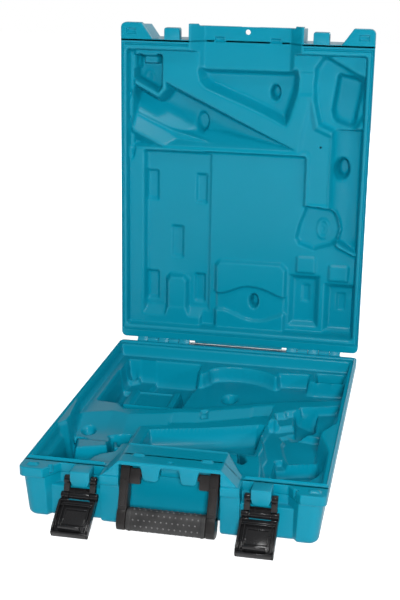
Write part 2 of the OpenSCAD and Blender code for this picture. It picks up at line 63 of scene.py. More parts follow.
# Places of the joints and main faces, in millimetres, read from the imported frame
JOINTS = {j["name"]: [c * 1000 for c in j["pos_m"]] for j in frame["joints"]}
PARTING = JOINTS["lid_hinge"][2]
HINGE_Y = JOINTS["lid_hinge"][1]
HALF_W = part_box("base_shell")[1].x * 1000
REAR = HINGE_Y - 4.0
FRONT = -REAR
BASE_H = PARTING
LID_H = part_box("lid_shell")[1].y * 1000 - HINGE_Y
SKIN = 4.5                            # least room between the foot of a dimple and the outside of the lid


# ---------------------------------------------------------------- outlines

def as_outline(points):
    """The points as an array, anticlockwise."""
    p = np.array(points, float)
    q = np.roll(p, -1, axis=0)
    return p if (p[:, 0] * q[:, 1] - q[:, 0] * p[:, 1]).sum() > 0 else p[::-1].copy()


def grown(points, by):
    """A closed outline moved outwards by a distance, with mitred corners."""
    p = as_outline(points)
    edge = np.roll(p, -1, axis=0) - p
    out = np.stack([edge[:, 1], -edge[:, 0]], 1) / np.linalg.norm(edge, axis=1)[:, None]
    before = np.roll(out, 1, axis=0)
    return p + (out + before) * by / (1 + (out * before).sum(1))[:, None]


def inside(x, y, points):
    """Distance inside a closed outline, negative outside it."""
    p = as_outline(points)
    nearest = np.full(x.shape, 1e9)
    within = np.zeros(x.shape, bool)
    for a, b in zip(p, np.roll(p, -1, axis=0)):
        d = b - a
        t = np.clip(((x - a[0]) * d[0] + (y - a[1]) * d[1]) / (d @ d), 0, 1)
        nearest = np.minimum(nearest, np.hypot(x - a[0] - t * d[0], y - a[1] - t * d[1]))
        crosses = (a[1] > y) != (b[1] > y)
        if d[1]:
            within ^= crosses & (x < a[0] + (y - a[1]) * d[0] / d[1])
    return np.where(within, nearest, -nearest)


def wall(s, depth, lip=2.2, foot=3.5, draft=8.0):
    """Depth of a moulded wall at a distance s inside its upper edge, with a rounded lip and foot."""
    steep = math.radians(90 - draft)
    steep = min(steep, math.acos(max(0.0, 1 - depth / (lip + foot))) if depth < lip + foot else steep)
    drop = (lip + foot) * (1 - math.cos(steep))
    run = max(0.0, (depth - drop) / math.sin(steep))
    a = np.linspace(0, steep, 9)
    s1, d1 = lip * np.sin(a), lip * (1 - np.cos(a))
    s0, d0 = s1[-1] + run * math.cos(steep), d1[-1] + run * math.sin(steep)
    s2 = s0 + foot * (math.sin(steep) - np.sin(a[::-1]))
    d2 = d0 + foot * (np.cos(a[::-1]) - math.cos(steep))
    return np.interp(s, np.r_[s1, s2], np.r_[d1, d2])


def recess(x, v, points, depth, corner, lip, foot, draft):
    """Depth added by a recess whose upper edge is an outline with rounded corners."""
    return wall(corner + inside(x, v, grown(points, -corner)), depth, lip, foot, draft)


def box(x0, x1, v0, v1):
    return [(x0, v0), (x1, v0), (x1, v1), (x0, v1)]


def dimple(x, v, place, size, depth, lip=1.6, foot=2.5, draft=16):
    """Depth of a weld dimple, an upright oval of half-width and half-height size."""
    r = np.hypot((x - place[0]) / size[0], (v - place[1]) / size[1])
    return wall((1 - r) * size[0], depth, lip, foot, draft)


def line_at(x, *points):
    """The value at each x of a line through points."""
    return np.interp(x, [p[0] for p in points], [p[1] for p in points])


def ripple(r, middle, width):
    """A smooth ring of height 1 where r is at its middle."""
    return np.exp(-((r - middle) / width) ** 2)


# ---------------------------------------------------------------- trays
# x runs to the right and v from the rear edge to the front; depths are below the parting face.
# A cut is its outline, depth, corner radius, lip radius, foot radius and draft angle; a block that
# stands up is a cut taken off again. Walls and dimples end with the same lip, foot and draft.

RIM_SIDE, RIM_REAR, RIM_FRONT = 167.2, 209.9, 193.9    # middle of the tongue and groove round the trays
BAY_SIDE = 78                                          # the tongue stops here beside the handle bay
LID_LEVEL, CHANNEL_LEVEL, BATTERY_LEVEL = 12, 14.5, 20
BASE_LEVEL, TROUGH_LEVEL, REAR_SEAT_LEVEL, FRONT_SEAT_LEVEL = 16, 24, 27, 31


def locating(x, v, spare):
    """Height of the tongue and bosses on the base's rim, or with spare room the grooves of the lid's rim."""
    y = REAR - v
    across, along = np.abs(x) - RIM_SIDE, np.maximum(y - RIM_REAR, -RIM_FRONT - y)
    ring = np.maximum(across, along)
    ring = np.where(ring > 0, np.hypot(np.maximum(across, 0), np.maximum(along, 0)), ring)
    s = 1.5 + spare - np.abs(ring)
    s = np.where((np.abs(x) < BAY_SIDE) & (y < 0), np.minimum(s, np.abs(x) - BAY_SIDE + spare), s)
    high = wall(s, 2.6 + spare, 0.4, 0.4, 10)
    corner = np.minimum(6.5 + spare - np.abs(np.abs(x) - 156), 3.5 + spare - np.abs(y + 211))
    upper = np.minimum(6.5 + spare - np.abs(np.abs(x) - 38), 3.2 + spare - np.abs(y + 201.5))
    return high + wall(np.maximum(corner, upper), 2.4 + spare, 0.5, 0.5, 10)


def lid_tray(x, v):
    """Depth of the lid's inside below its parting face."""
    cut, pit = partial(recess, x, v), partial(dimple, x, v)
    rim = 7 + inside(x, v, grown(box(-165, 163.5, 16, 411), -7))
    limit = wall(rim, 60, 2.2, 4, 10)
    side = 1.2 * np.clip(x + 165.5, 0, None)
    d = np.minimum(wall(rim, 12, 2.5, 3, 14), side + 60 * (v > 275))
    # shallow flutes where the left wall runs into the trough
    d += cut([(-180, 407), (-152, 407), (-152, 364), (-166, 316), (-180, 316)], 5, 1.2, 1.2, 2, 20)
    d += cut([(-180, 313), (-158, 320), (-156, 297), (-151, 276), (-153, 264), (-164, 231), (-180, 231)], 4.5,
             1.2, 1.2, 2, 20)
    # the middle of the front edge stands deeper, down to the nose recess
    middle = cut([(-75.5, 500), (-75.5, 387), (-69, 366), (73, 362), (75.5, 387), (75.5, 500)], 20, 3, 1.6, 2,
                 40)
    d = np.maximum(d, middle)
    parts = [d]
    # trough for the slanting body, narrowing to the right
    q = -((x + 113) * 0.429 + (v - 368) * 0.903)
    t = (x + 113) * 0.903 - (v - 368) * 0.429
    low = np.interp(t, [0, 35, 108, 175], [60, 59, 44, 28])
    flank = np.interp(t, [35, 108, 175], [13, 6, 2])
    sag = np.interp(t, [35, 108, 175], [21, 19, 8])
    body = flank + sag * np.sqrt(np.clip(1 - ((q - low / 2) / (low / 2 + 0.6)) ** 2, 0, 1))
    lower = np.minimum(np.clip((82.5 - q) * 0.68, 0, None), 1 + np.clip((v - 278) * 1.15, 0, None))
    lower = np.where(q > 81.5, np.clip((q - 81.5) * 0.8, 0, 10), lower)
    lower = np.minimum(lower, np.clip((v - 274.5) * 2.2, 0, None))
    corner_pocket = [(-158, 404), (-113.5, 404), (-113.5, 356), (-121, 347), (-150, 362), (-158, 366)]
    ridge = -inside(x, v, corner_pocket) - 1.0
    body = np.minimum(np.minimum(body, lower), wall(np.minimum(q, ridge), 40, 2.2, 3, 17))
    body = np.minimum(body, wall(x + 159, 34, 2.0, 4, 12))
    body += (pit((-63, 309), (10.5, 17.5), 6, 2.4) + pit((-61.5, 309), (7.5, 13), 14, 1, 1.5, 8)) * (body > 3)
    parts.append(LID_LEVEL + body)
    # deep stepped pocket in the front left corner
    pocket = cut(corner_pocket, 28, 5, 2.4, 3, 7)
    pocket -= cut(box(-146, -121, 386, 412), 14, 1.5, 1.2, 1, 8)
    pocket -= cut(box(-170, -147, 380, 412), 8, 3, 1.5, 2, 10)
    ring = np.hypot((x + 139) / 5, (v - 368) / 8)
    parts.append(LID_LEVEL + np.maximum(pocket, 0) - 1.2 * ripple(ring, 1, 0.25) * (pocket > 20))
    # nose recess
    nose = [(-66, 390), (-69, 380), (-66, 366), (-58, 357), (10, 330), (30, 321), (51, 310.5), (57, 309),
            (62, 318), (74, 360), (75, 378), (71, 390)]
    nose = cut(nose, 21, 4, 3.4, 5, 25)
    nose = np.where(v > 381, np.minimum(nose, 7.5 + wall(386.5 - v, 14, 2, 3, 14)), nose)
    parts.append(LID_LEVEL + nose + (pit((38, 354), (9, 14.5), 7, 2)
                                     + pit((39, 354), (6.5, 11), 10, 1, 1.5, 8)) * (nose > 15))
    # shallow level round the vent, and the plug recess with its inner pocket
    parts.append(LID_LEVEL + cut([(71, 272), (85, 353), (90, 347), (98, 312), (122, 302), (122, 200), (84, 200),
                                  (84, 272)], 3.5, 1, 2, 2, 58))
    parts.append(LID_LEVEL + cut(box(72, 92, 354, 386), 1.5, 1, 1, 1, 50))
    plug = [(99, 405), (105, 409), (112, 407.5), (150, 387), (166, 380), (166, 332), (144.5, 294), (119, 303.5),
            (98, 313), (90, 346), (88, 366), (90, 391)]
    plug = cut(plug, 11, 4, 2.6, 3.5, 26)
    pocket = [(123, 387), (119, 380), (113, 335), (115.5, 323.5), (122, 316), (142, 309.5), (149, 314),
              (152, 320), (158.5, 359), (159.5, 375), (150, 382)]
    plug += cut(pocket, 14, 5, 3, 5, 20)
    parts.append(LID_LEVEL + plug)
    # half-round channel down the right side, ending at a slanting step
    channel = 14 * np.sqrt(np.clip(1 - ((x - 140) / 21.0) ** 2, 0, 1))
    step = (x - 134.5) * 0.424 + (v - 151) * 0.906
    channel = np.minimum(channel, wall(np.minimum(step, 312 - v), 16, 1.5, 2, 12))
    channel += (pit((133.5, 255), (12.5, 19.5), 7, 2.5, 4)
                + pit((135.5, 255), (9, 15), 15, 1, 2, 8)) * (channel > 5)
    parts.append(CHANNEL_LEVEL + channel * (channel > 0.01) - 3 * (channel <= 0.01))
    # middle panel and the level that runs on from it to the rear right corner
    level = [(-60, 274.5), (84, 274), (88, 270), (88, 205), (110, 196), (134.5, 149.5), (153, 140.5),
             (170, 134), (170, 0), (-60, 0)]
    level = cut(level, 8, 3, 2.5, 4, 16)
    # block with a bowed channel across it
    bowed = cut([(-40, -10), (-40, 112), (-33, 120.5), (57, 120.5), (66.5, 111), (66.5, -10)], 7, 7, 2, 2.4, 34)
    lens = [(-44, 73), (-27, 72.5), (-19, 75), (-7, 80.5), (2, 83.5), (11, 84.7), (22, 84), (32, 82),
            (42, 78.5), (50, 74.8), (58, 71.8), (70, 71), (70, 45), (62, 43.5), (54, 39.5), (45, 35.5),
            (35, 32), (26, 30.6), (16, 30.4), (6, 32.5), (-7, 37.5), (-17, 42), (-24, 44), (-44, 44)]
    lens = cut(lens, 5, 0.8, 1.8, 2, 28)
    bowed -= np.minimum(lens, bowed)
    level = level - bowed + (pit((18.5, 60.5), (8.5, 14), 6)
                             + pit((19.5, 60.5), (6.5, 11), 12, 0.8, 1, 8)) * (lens > 3)
    for pad in (box(75.5, 106, 105.5, 132), box(121, 152, 96, 122)):
        level -= cut(pad, 4, 4, 1.4, 1.8, 30)
    for room, pad in ((box(66.5, 112, 26, 104.5), box(85, 97.5, 62, 88.5)),
                      (box(116, 170, 20, 95), box(134, 148, 53, 79.5))):
        deep = cut(room, 9, 3, 2.2, 3, 40)
        level += deep + cut(pad, 2.6, 2.5, 1.0, 1.1, 30)
    parts.append(LID_LEVEL + level)
    # left panel with its pads and the arched block at the rear
    left = cut([(-143, 273.5), (-41, 273.5), (-41, 20), (-143, 20)], 11.5, 7, 2.8, 4, 20)
    left = np.minimum(left, np.clip((v - 31) * 0.8, 0, None))
    pads = 0
    for pad in (box(-140.5, -120, 197, 243), box(-69.5, -50.5, 196, 240.5), box(-103.5, -83.5, 115, 164.5),
                box(-140, -118.5, 51.5, 96.5), box(-69.5, -51, 51, 96)):
        pads = pads + cut(pad, 4.6, 4, 1.6, 1.6, 34)
    arch = cut([(-111.5, -20), (-111.5, 86), (-104, 95), (-81, 95), (-73.5, 86), (-73.5, -20)], 11, 4, 2.4, 3,
               24)
    parts.append(LID_LEVEL + np.maximum(left + pads * (left > 6) - arch, 0))
    d = np.maximum.reduce(parts)
    # battery recess with its ring
    battery = [(86, 205), (121, 202), (129, 197.5), (135, 186), (138.3, 171), (134.5, 154), (125.5, 145.5),
               (100.5, 137), (77.5, 145), (71.5, 155), (75.5, 175.5)]
    room = cut(battery, 9, 4, 2.2, 2.6, 28)
    ring = np.hypot((x - 111.5) / 7.2, (v - 170) / 12.0)
    face = BATTERY_LEVEL + room - 2.0 * ripple(ring, 1, 0.2) - 1.2 * ripple(ring, 0.45, 0.16)
    edge = np.clip((room - 0.02) / 1.5, 0, 1)
    d = np.where(room > 0.02, face * edge + d * (1 - edge), d)
    return np.minimum(np.minimum(d, np.maximum(limit, middle)), LID_H - SKIN)


def base_tray(x, v):
    """Depth of the base's inside below its parting face; negative over the handle bay."""
    cut, pit = partial(recess, x, v), partial(dimple, x, v)
    outline = [(-165, 19), (164, 19), (164, 240), (159, 249), (149, 270), (149, 283), (157, 306), (162, 325),
               (164, 411), (-165, 411), (-165, 318), (-158.5, 306), (-158.5, 290), (-165, 236)]
    rim = 3 + inside(x, v, grown(outline, -3))
    d = wall(rim, 16, 2.4, 3.5, 20)
    parts = [d]
    # pocket for the charger, with a raised corner, a framed block and gaps beside it
    pocket = [(-152, 34), (-44, 34), (-41, 40), (-40, 62), (-36, 72), (-40, 97), (-43, 154), (-44, 200),
              (-61, 212), (-109, 218), (-122, 202), (-152, 199)]
    pocket = cut(pocket, 38, 4, 3, 5, 7)
    pocket -= cut([(-170, 20), (-108, 20), (-105, 50), (-108, 82), (-170, 88)], 6, 2, 1.5, 1.5, 10)
    pocket -= cut([(-170, 20), (-128, 20), (-128, 50), (-138, 60), (-170, 66)], 7, 4, 2, 2, 14)
    pocket += pit((-139, 46), (6.5, 10), 9, 2) * (pocket > 18)
    pocket -= cut(box(-131, -56, 94, 157), 17, 3, 1.6, 1.5, 6)
    pocket += cut(box(-119, -68, 97, 151), 4.5, 2, 1.2, 1.2, 12) * (pocket < 30)
    parts.append(BASE_LEVEL + np.maximum(pocket, 0))
    # middle recess behind its bowed wall, running on to the right wall, with a weld dimple
    middle = [(-58, 72), (-38, 70), (-32.5, 60), (-31, 52), (-27, 46), (-20, 40.5), (-10, 36.5), (2, 34.5),
              (14, 34), (26, 35.5), (38, 39), (49, 44), (57, 49.5), (63, 55), (66, 43), (109, 38), (112, 44),
              (113, 64), (118, 66), (162, 62), (162, 129), (150, 130), (87, 149), (50, 165), (5, 188),
              (-16, 197), (-35, 200), (-58, 205)]
    middle = cut(middle, 20, 1.5, 2.6, 3.5, 9)
    middle += pit((9, 106), (12.5, 20), 18, 1.6, 3, 14)
    parts.append(BASE_LEVEL + middle)
    parts.append(BASE_LEVEL + cut([(116, 31), (159, 29), (159, 66), (116, 69)], 38, 5, 3, 5, 6))
    # a long shallow slope in front of the ridge, with a saddle across it and a weld dimple at its left
    start = line_at(x, (-160, 243), (-147, 237), (-120, 227), (-106, 230), (-98, 233), (-60, 222), (-47, 218),
                    (-45, 214), (-16, 207), (-2, 201), (0, 199), (49, 176), (51, 172), (87, 157))
    run = v - start
    deep = 12.5 * np.sin(math.pi / 2 * np.clip(run / 50, 0, 1))
    shelf = wall(run, 8, 3, 4, 64)
    left_part = wall(-79 - x, 6, 1.5, 2, 6) + 8
    front_slope = np.interp(v, [287, 293, 322, 330], [40, 12.5, 0.8, 0])
    trough = np.where(x < -46, np.minimum(deep, left_part), shelf) * (run > 0)
    trough = np.minimum(trough, wall(np.minimum(x + 158, 78 - x), 40, 2, 4, 14))
    trough = np.minimum(trough, front_slope)
    trough += pit((-140, 270), (9.5, 13), 10, 2, 2, 20) * (trough > 9)
    parts.append(BASE_LEVEL + trough)
    saddle = cut([(-14, 200), (-2, 195), (0, 212), (-11, 217)], 4, 2, 1.5, 1.5, 20)
    # big round trough for the body, with a deep slot at its right end
    top = line_at(x, (-80, 266), (-66, 258), (-32, 248), (-11, 242), (23, 230), (68, 211))
    body = 22 * np.sqrt(np.clip(1 - ((v - top - 20) / 20.5) ** 2, 0, 1))
    body = np.where(v > top + 20, 22, body) * (v > top)
    ends = wall(np.minimum(x + 67, 73 - x), 34, 1.6, 3, 8)
    body = np.minimum(np.minimum(body, ends), np.maximum(front_slope - 8, 0))
    body += cut([(62, 210), (73, 203), (73, 236), (63, 240)], 8, 2, 1, 1.5, 8) * (body > 4)
    parts.append(np.where(body > 0, TROUGH_LEVEL + body, 0))
    # front left recess with its block, a thin rib and a flat beside the handle bay
    front_left = [(-158, 287), (-128, 284), (-108, 271), (-82, 264), (-80, 300), (-84, 345), (-92, 352),
                  (-100, 358), (-103, 366), (-104, 380), (-112, 392), (-126, 402), (-160, 402), (-160, 316),
                  (-155, 300)]
    front_left = cut(front_left, 38, 3, 2.4, 5, 8)
    front_left -= cut([(-150, 296), (-107, 278), (-99, 322), (-106, 402), (-137, 402), (-140, 340)], 14, 3, 1.5,
                      2, 10)
    front_left -= cut([(-153, 293), (-107, 275), (-99, 322), (-142, 339)], 18, 2.5, 1.6, 2, 6)
    front_left -= cut([(-102, 303), (-94, 300), (-83, 338), (-91, 342)], 35, 1, 1, 1, 2)
    parts.append(BASE_LEVEL + np.maximum(front_left, 0))
    # right of the trough: a shallow seat, then a floor stepping down to a deep pocket at each end
    seat = [(79, 188), (91, 182), (92, 177), (148, 148), (162, 141), (162, 246), (120, 250), (86, 212),
            (82, 204)]
    seat = cut(seat, 8.5, 2.5, 2.6, 2, 10)
    floor = [(72, 212), (82, 206), (86, 209), (107, 197), (107, 160), (140, 150), (161, 142), (161, 251),
             (149, 270), (149, 285), (155, 304), (160, 338), (153, 361), (146, 374), (88, 382), (84, 345),
             (78, 318), (80, 298), (69, 250)]
    floor = cut(floor, 16, 2.5, 2.6, 3, 10)
    shelf = cut([(107, 196), (107, 158), (140, 146), (170, 130), (170, 225), (135, 229), (107, 225)], 5, 2, 1.5,
                2, 10)
    floor = np.maximum(floor - shelf, 0)
    floor += cut([(90, 226), (97, 238), (96, 250), (103, 280), (107, 292), (112, 302), (150, 292), (149, 268),
                  (156, 250), (156, 228), (134, 226), (110, 214)], 4, 2, 1.8, 2, 20)
    parts += [BASE_LEVEL + seat, BASE_LEVEL + floor]
    rear_hole = [(103, 164), (134, 151), (137.5, 213), (132, 222), (94, 236), (91, 222), (106, 212)]
    rear_hole = cut(rear_hole, 27, 4, 2.6, 4, 6)
    rear_hole = np.minimum(rear_hole, 6 + np.clip((x - 100) * 0.6, 0, 21))
    parts.append(np.where((rear_hole > 0) & (seat > 1), REAR_SEAT_LEVEL + rear_hole, 0))
    front_hole = [(94, 294), (105, 289), (113, 303), (140, 293), (153, 296), (159, 338), (152, 360), (145, 372),
                  (96, 374)]
    low_step = [(96, 309), (138, 294), (152, 300), (157, 338), (150, 358), (144, 370), (100, 372)]
    front_hole = cut(front_hole, 8, 1.5, 2.6, 2, 6)
    front_hole += cut(low_step, 8, 2, 3, 2, 6)
    front_hole += cut([(112, 316), (136, 308), (151, 304), (155, 338), (148, 356), (142, 368), (112, 370)], 7,
                      3, 2, 3, 8)
    parts.append(np.where((front_hole > 0) & (floor > 10), FRONT_SEAT_LEVEL + front_hole, 0))
    parts.append(BASE_LEVEL + cut([(48, 292), (54, 288), (70, 337), (66, 350), (58, 346)], 34, 1.5, 1.5, 2, 6))
    d = np.where(rim > 0, np.maximum.reduce(parts), d)
    d += saddle + pit((-9, 210), (3, 5), 3)
    d = np.minimum(d, wall(rim, 60, 2.4, 4, 8))
    # raised roof of the handle bay
    behind = v - 391 - 1.1 * np.clip(np.abs(x) - 57, 0, 20)
    rise = np.minimum(wall(74.8 - np.abs(x), 18, 1.2, 2, 45), wall(behind, 18, 1, 1, 4))
    tongue = wall(1.6 - np.abs(behind - 4.6), 1.1, 0.5, 0.5, 20) * (np.abs(x) < 57)
    d = np.where(rise > 0, np.minimum(d * np.clip(1 - rise / 6, 0, 1), 0) - rise - tongue, d)
    return d


# ---------------------------------------------------------------- mouldings

FLANGE_H, STEP = 11.0, 2.0                  # flange, and how far the wall stands back from it
NOTCH, LOWER_NOTCH = 21.0, 10.5             # depths of the latch notches, above and below the latch
NOTCH_IN, NOTCH_FLOOR, NOTCH_OUT = 77, 127.0, 142.0
BAY_W, BAY_D = 56.0, 34.0                   # handle bay
PADLOCK_W, PADLOCK_D = 13.0, 20.0           # recess in the lid's front for a padlock
FOOT_R = 6.0                                # rounding between the walls and the outside face
LEAN = (6.0, 3.0)                           # how far the sides and the front and rear lean in
CORNER_R, FLANGE_CORNER_R = 11.0, 7.0
NO_LIMIT = 1e9
SAMPLE = 0.27                               # how far from its point each depth is sampled, in grid steps


def arc(cx, cy, r, a0, a1, n=8):
    return [(cx + r * math.cos(a), cy + r * math.sin(a)) for a in np.radians(np.linspace(a0, a1, n + 1))]


def mirrored(section):
    return [(-x, y) for x, y in reversed(section)]


def plan(half_w, front, rear, middle, corner, notch, slot_w, slot_d):
    """The plan outline as sections that share their ends: front, slot, notches, sides, rear and corners."""
    def slanted(y):
        return NOTCH_OUT - (NOTCH_OUT - NOTCH_FLOOR) * (y - FRONT) / NOTCH

    floor = FRONT + notch
    cx, y0, y1 = half_w - corner, front + corner, rear - corner
    slot = [(-slot_w, middle), (slot_w, middle)]
    if slot_d:
        slot[1:1] = [(-slot_w, FRONT + slot_d), (slot_w, FRONT + slot_d)]
    beside = [(slot_w, middle), (73, middle), (74.5, front), (NOTCH_IN, front)]
    right = [
        [(NOTCH_IN, front), (NOTCH_IN, floor), (slanted(floor), floor), (slanted(front), front)],
        [(slanted(front), front), (cx, front)],
        arc(cx, y0, corner, -90, 0),
        [(half_w, y0), (half_w, y1)],
        arc(cx, y1, corner, 0, 90),
    ]
    return [mirrored(beside), slot, beside, *right, [(cx, rear), (-cx, rear)], *map(mirrored, reversed(right))]


def moved_in(sections, by):
    """The sections with the whole outline moved inwards."""
    flat, ends = [], []
    for s in sections:
        start = len(flat)
        flat += s[:-1]
        ends.append((start, len(s)))
    moved = grown(flat, -by)
    n = len(flat)
    result = [[tuple(moved[(start + k) % n]) for k in range(count)] for start, count in ends]
    # the step beside the handle bay stays on its own side of the latch notch's edge
    edge = result[3][0][0]
    result[0] = [(max(x, 0.4 * k - edge), y) for k, (x, y) in enumerate(result[0])]
    result[2] = mirrored(result[0])
    return result


def at(section, u):
    """The points at shares u of a section's length."""
    p = np.array(section, float)
    run = np.r_[0, np.cumsum(np.linalg.norm(np.diff(p, axis=0), axis=1))]
    return np.stack([np.interp(u * run[-1], run, p[:, k]) for k in (0, 1)], -1)


def nearest_on(sections, points):
    """For each point, the section it is nearest to and its share of that section's length."""
    best = np.full(len(points), 1e9)
    which = np.zeros(len(points), int)
    share = np.zeros(len(points))
    for i, s in enumerate(sections):
        p = np.array(s, float)
        lengths = np.linalg.norm(np.diff(p, axis=0), axis=1)
        total = lengths.sum()
        done = 0.0
        for a, b, length in zip(p, p[1:], lengths):
            if length > 1e-9:
                t = np.clip(((points - a) @ (b - a)) / length ** 2, 0, 1)
                away = np.linalg.norm(points - a - t[:, None] * (b - a), axis=1)
                better = away < best - 1e-9
                best = np.where(better, away, best)
                which = np.where(better, i, which)
                share = np.where(better, (done + t * length) / total, share)
            done += length
    return which, share


def grid_lines(stops, step):
    """Lines through each stop, no further apart than step."""
    out = [stops[0]]
    for a, b in zip(stops, stops[1:]):
        out += list(np.linspace(a, b, max(1, math.ceil((b - a) / step)) + 1)[1:])
    return np.array(out)


def in_order(edges):
    """The corners of a closed ring of edges, one after another."""
    beside = {}
    for e in edges:
        for a, b in (e.verts, tuple(reversed(e.verts))):
            beside.setdefault(a, []).append(b)
    way = [edges[0].verts[0], edges[0].verts[1]]
    while len(way) < len(edges):
        a, b = beside[way[-1]]
        way.append(b if a is way[-2] else a)
    return way


def halved(way):
    """A ring cut at its right and left side: the part over the rear and the part over the front."""
    right = min((v for v in way if v.co.x > 0), key=lambda v: abs(v.co.y))
    left = min((v for v in way if v.co.x < 0), key=lambda v: abs(v.co.y))
    k = way.index(right)
    way = way[k:] + way[:k]
    cut = way.index(left)
    parts = way[:cut + 1], way[cut:] + way[:1]
    if sum(v.co.y for v in parts[0]) < sum(v.co.y for v in parts[1]):
        parts = parts[1][::-1], parts[0][::-1]
    return parts


def right_of_middle(lip):
    """The grid's fixed lines from the middle to the right, along the edges of the rim's details."""
    return [0, 31.3, 32, 43.9, 44.7, BAY_W, NOTCH_IN - lip, NOTCH_FLOOR, NOTCH_OUT, 149.3, 150, 162, 162.7,
            165.5, 166.1, 168.3, HALF_W - lip]


def sheet(top, lip, step):
    """A flat grid cut to the parting edge's outline, with the corners of its edge and their places on it."""
    bm = bmesh.new()
    right = right_of_middle(lip)
    xs = grid_lines([-x for x in right[:0:-1]] + right, step)
    ys = grid_lines([FRONT + lip, -214.7, -214, -205.1, -204.4, -198.6, -198, FRONT + NOTCH + lip, -195.6, -195,
                     -192.8, -192.2, 0, 208.2, 208.8, 211, 211.6, REAR - lip], step)
    bmesh.ops.create_grid(bm, x_segments=len(xs) - 1, y_segments=len(ys) - 1, size=1)
    co = np.array([v.co[:2] for v in bm.verts])
    i = np.rint((co[:, 0] + 1) / 2 * (len(xs) - 1)).astype(int)
    j = np.rint((co[:, 1] + 1) / 2 * (len(ys) - 1)).astype(int)
    for v, x, y in zip(bm.verts, xs[i], ys[j]):
        v.co = (x, y, 0)
    faces = list(bm.faces)
    mid = np.array([f.calc_center_median()[:2] for f in faces])
    keep = inside(mid[:, 0], mid[:, 1], [p for s in top for p in s[:-1]]) > 0
    bmesh.ops.delete(bm, geom=[f for f, k in zip(faces, keep) if not k], context="FACES")
    # the cut edge follows the outline exactly
    edge = [v for v in bm.verts if v.is_boundary]
    points = np.array([v.co[:2] for v in edge])
    which, share = nearest_on(top, points)
    points = on_sections(top, which, share)
    for v, p in zip(edge, points):
        v.co = (p[0], p[1], 0)
    return bm, edge, which, share


def on_sections(sections, which, share):
    """The points at the given shares of the given sections."""
    points = np.zeros((len(which), 2))
    for k, section in enumerate(sections):
        mask = which == k
        if mask.any():
            points[mask] = at(section, share[mask])
    return points


def extruded(bm, edges, loop):
    """A new ring of faces on a ring of edges, with the corners that follow the old ones."""
    made = bmesh.ops.extrude_edge_only(bm, edges=edges)["geom"]
    new = {v for v in made if isinstance(v, bmesh.types.BMVert)}
    partner = {}
    for v in new:
        for e in v.link_edges:
            other = e.other_vert(v)
            if other not in new:
                partner[other] = v
    outer = [e for e in made if isinstance(e, bmesh.types.BMEdge) and e.verts[0] in new and e.verts[1] in new]
    return outer, [partner[v] for v in loop]


def outside_face(bm, around, height, panel):
    """The flat border that closes a ring of corners round a shallow panel (x0, x1, y0, y1, radius)."""
    x0, x1, y0, y1, r = panel
    loops = []
    for by, drop in ((0.0, 0.0), (0.9, 0.35), (2.2, 1.2)):
        points = (arc(x1 - r, y0 + r, r - by, -90, 0) + arc(x1 - r, y1 - r, r - by, 0, 90)
                  + arc(x0 + r, y1 - r, r - by, 90, 180) + arc(x0 + r, y0 + r, r - by, 180, 270))
        loops.append([bm.verts.new((x, y, height - drop)) for x, y in points])
    rims = [[bm.edges.new((a, b)) for a, b in zip(loop, loop[1:] + loop[:1])] for loop in loops]
    for outer, inner in zip(halved(around), halved(loops[0])):
        bm.faces.new(outer + inner[::-1])
    for a, b in zip(rims, rims[1:]):
        bmesh.ops.bridge_loops(bm, edges=a + b)
    bm.faces.new(loops[-1])


def moulding(depth_of, fine, height, top, rings, panel, settings):
    """One moulded half: the inside as a displaced grid, the outside as rings extruded from its edge."""
    lip, step = settings.lip / MM, settings.grid / MM
    bm, loop, which, share = sheet(top, lip, step)
    # each depth is an average round its point, so that slanting walls run smoothly across the grid
    x, y = np.array([v.co[:2] for v in bm.verts]).T
    shifts = [(a * step, b * step) for a in (-SAMPLE, SAMPLE) for b in (-SAMPLE, SAMPLE)]
    depth = sum(depth_of(x + a, REAR - y + b) for a, b in shifts) / len(shifts)
    depth += fine(x, REAR - y)
    for v, d in zip(bm.verts, depth):
        v.co.z = d
    start = np.array([v.co.z for v in loop])
    edges = [e for e in bm.edges if e.is_boundary]
    for target, sections in rings:
        edges, loop = extruded(bm, edges, loop)
        points = on_sections(sections, which, share)
        for v, (px, py), s in zip(loop, points, start):
            if isinstance(target, tuple):
                v.co = (px, py, s + target[0])
            elif target > s + lip:
                v.co = (px, py, target)
    outside_face(bm, in_order(edges), height, panel)
    bmesh.ops.remove_doubles(bm, verts=bm.verts, dist=0.02)
    return bm


def as_mesh(bm, name):
    """A mesh from a bmesh, which is freed."""
    mesh = bpy.data.meshes.new(name)
    bm.to_mesh(mesh)
    bm.free()
    return mesh


def in_scene(name, data):
    """A new object in the scene."""
    made = bpy.data.objects.new(name, data)
    bpy.context.scene.collection.objects.link(made)
    return made


def drilled(bm, holes, to_world):
    """The moulding with round holes cut through or into its face, placed in the case's frame."""
    drills = bmesh.new()
    for x, y, r, z0, z1 in holes:
        rod = bmesh.ops.create_cone(drills, segments=28, radius1=r, radius2=r, depth=z1 - z0,
                                    cap_ends=True)["verts"]
        bmesh.ops.translate(drills, verts=rod, vec=(x, y, (z0 + z1) / 2))
    for solid in (bm, drills):
        bmesh.ops.recalc_face_normals(solid, faces=solid.faces)
    solid_half = in_scene("moulding", as_mesh(bm, "moulding"))
    tool = in_scene("drills", as_mesh(drills, "drills"))
    cut = solid_half.modifiers.new("drills", "BOOLEAN")
    cut.operation, cut.solver, cut.object = "DIFFERENCE", "EXACT", tool
    bpy.context.view_layer.update()
    out = bmesh.new()
    out.from_object(solid_half, bpy.context.evaluated_depsgraph_get())
    for made in (solid_half, tool):
        bpy.data.objects.remove(made)
    for v in out.verts:
        v.co = Vector(to_world(*v.co)) * MM
    bmesh.ops.recalc_face_normals(out, faces=out.faces)
    return out


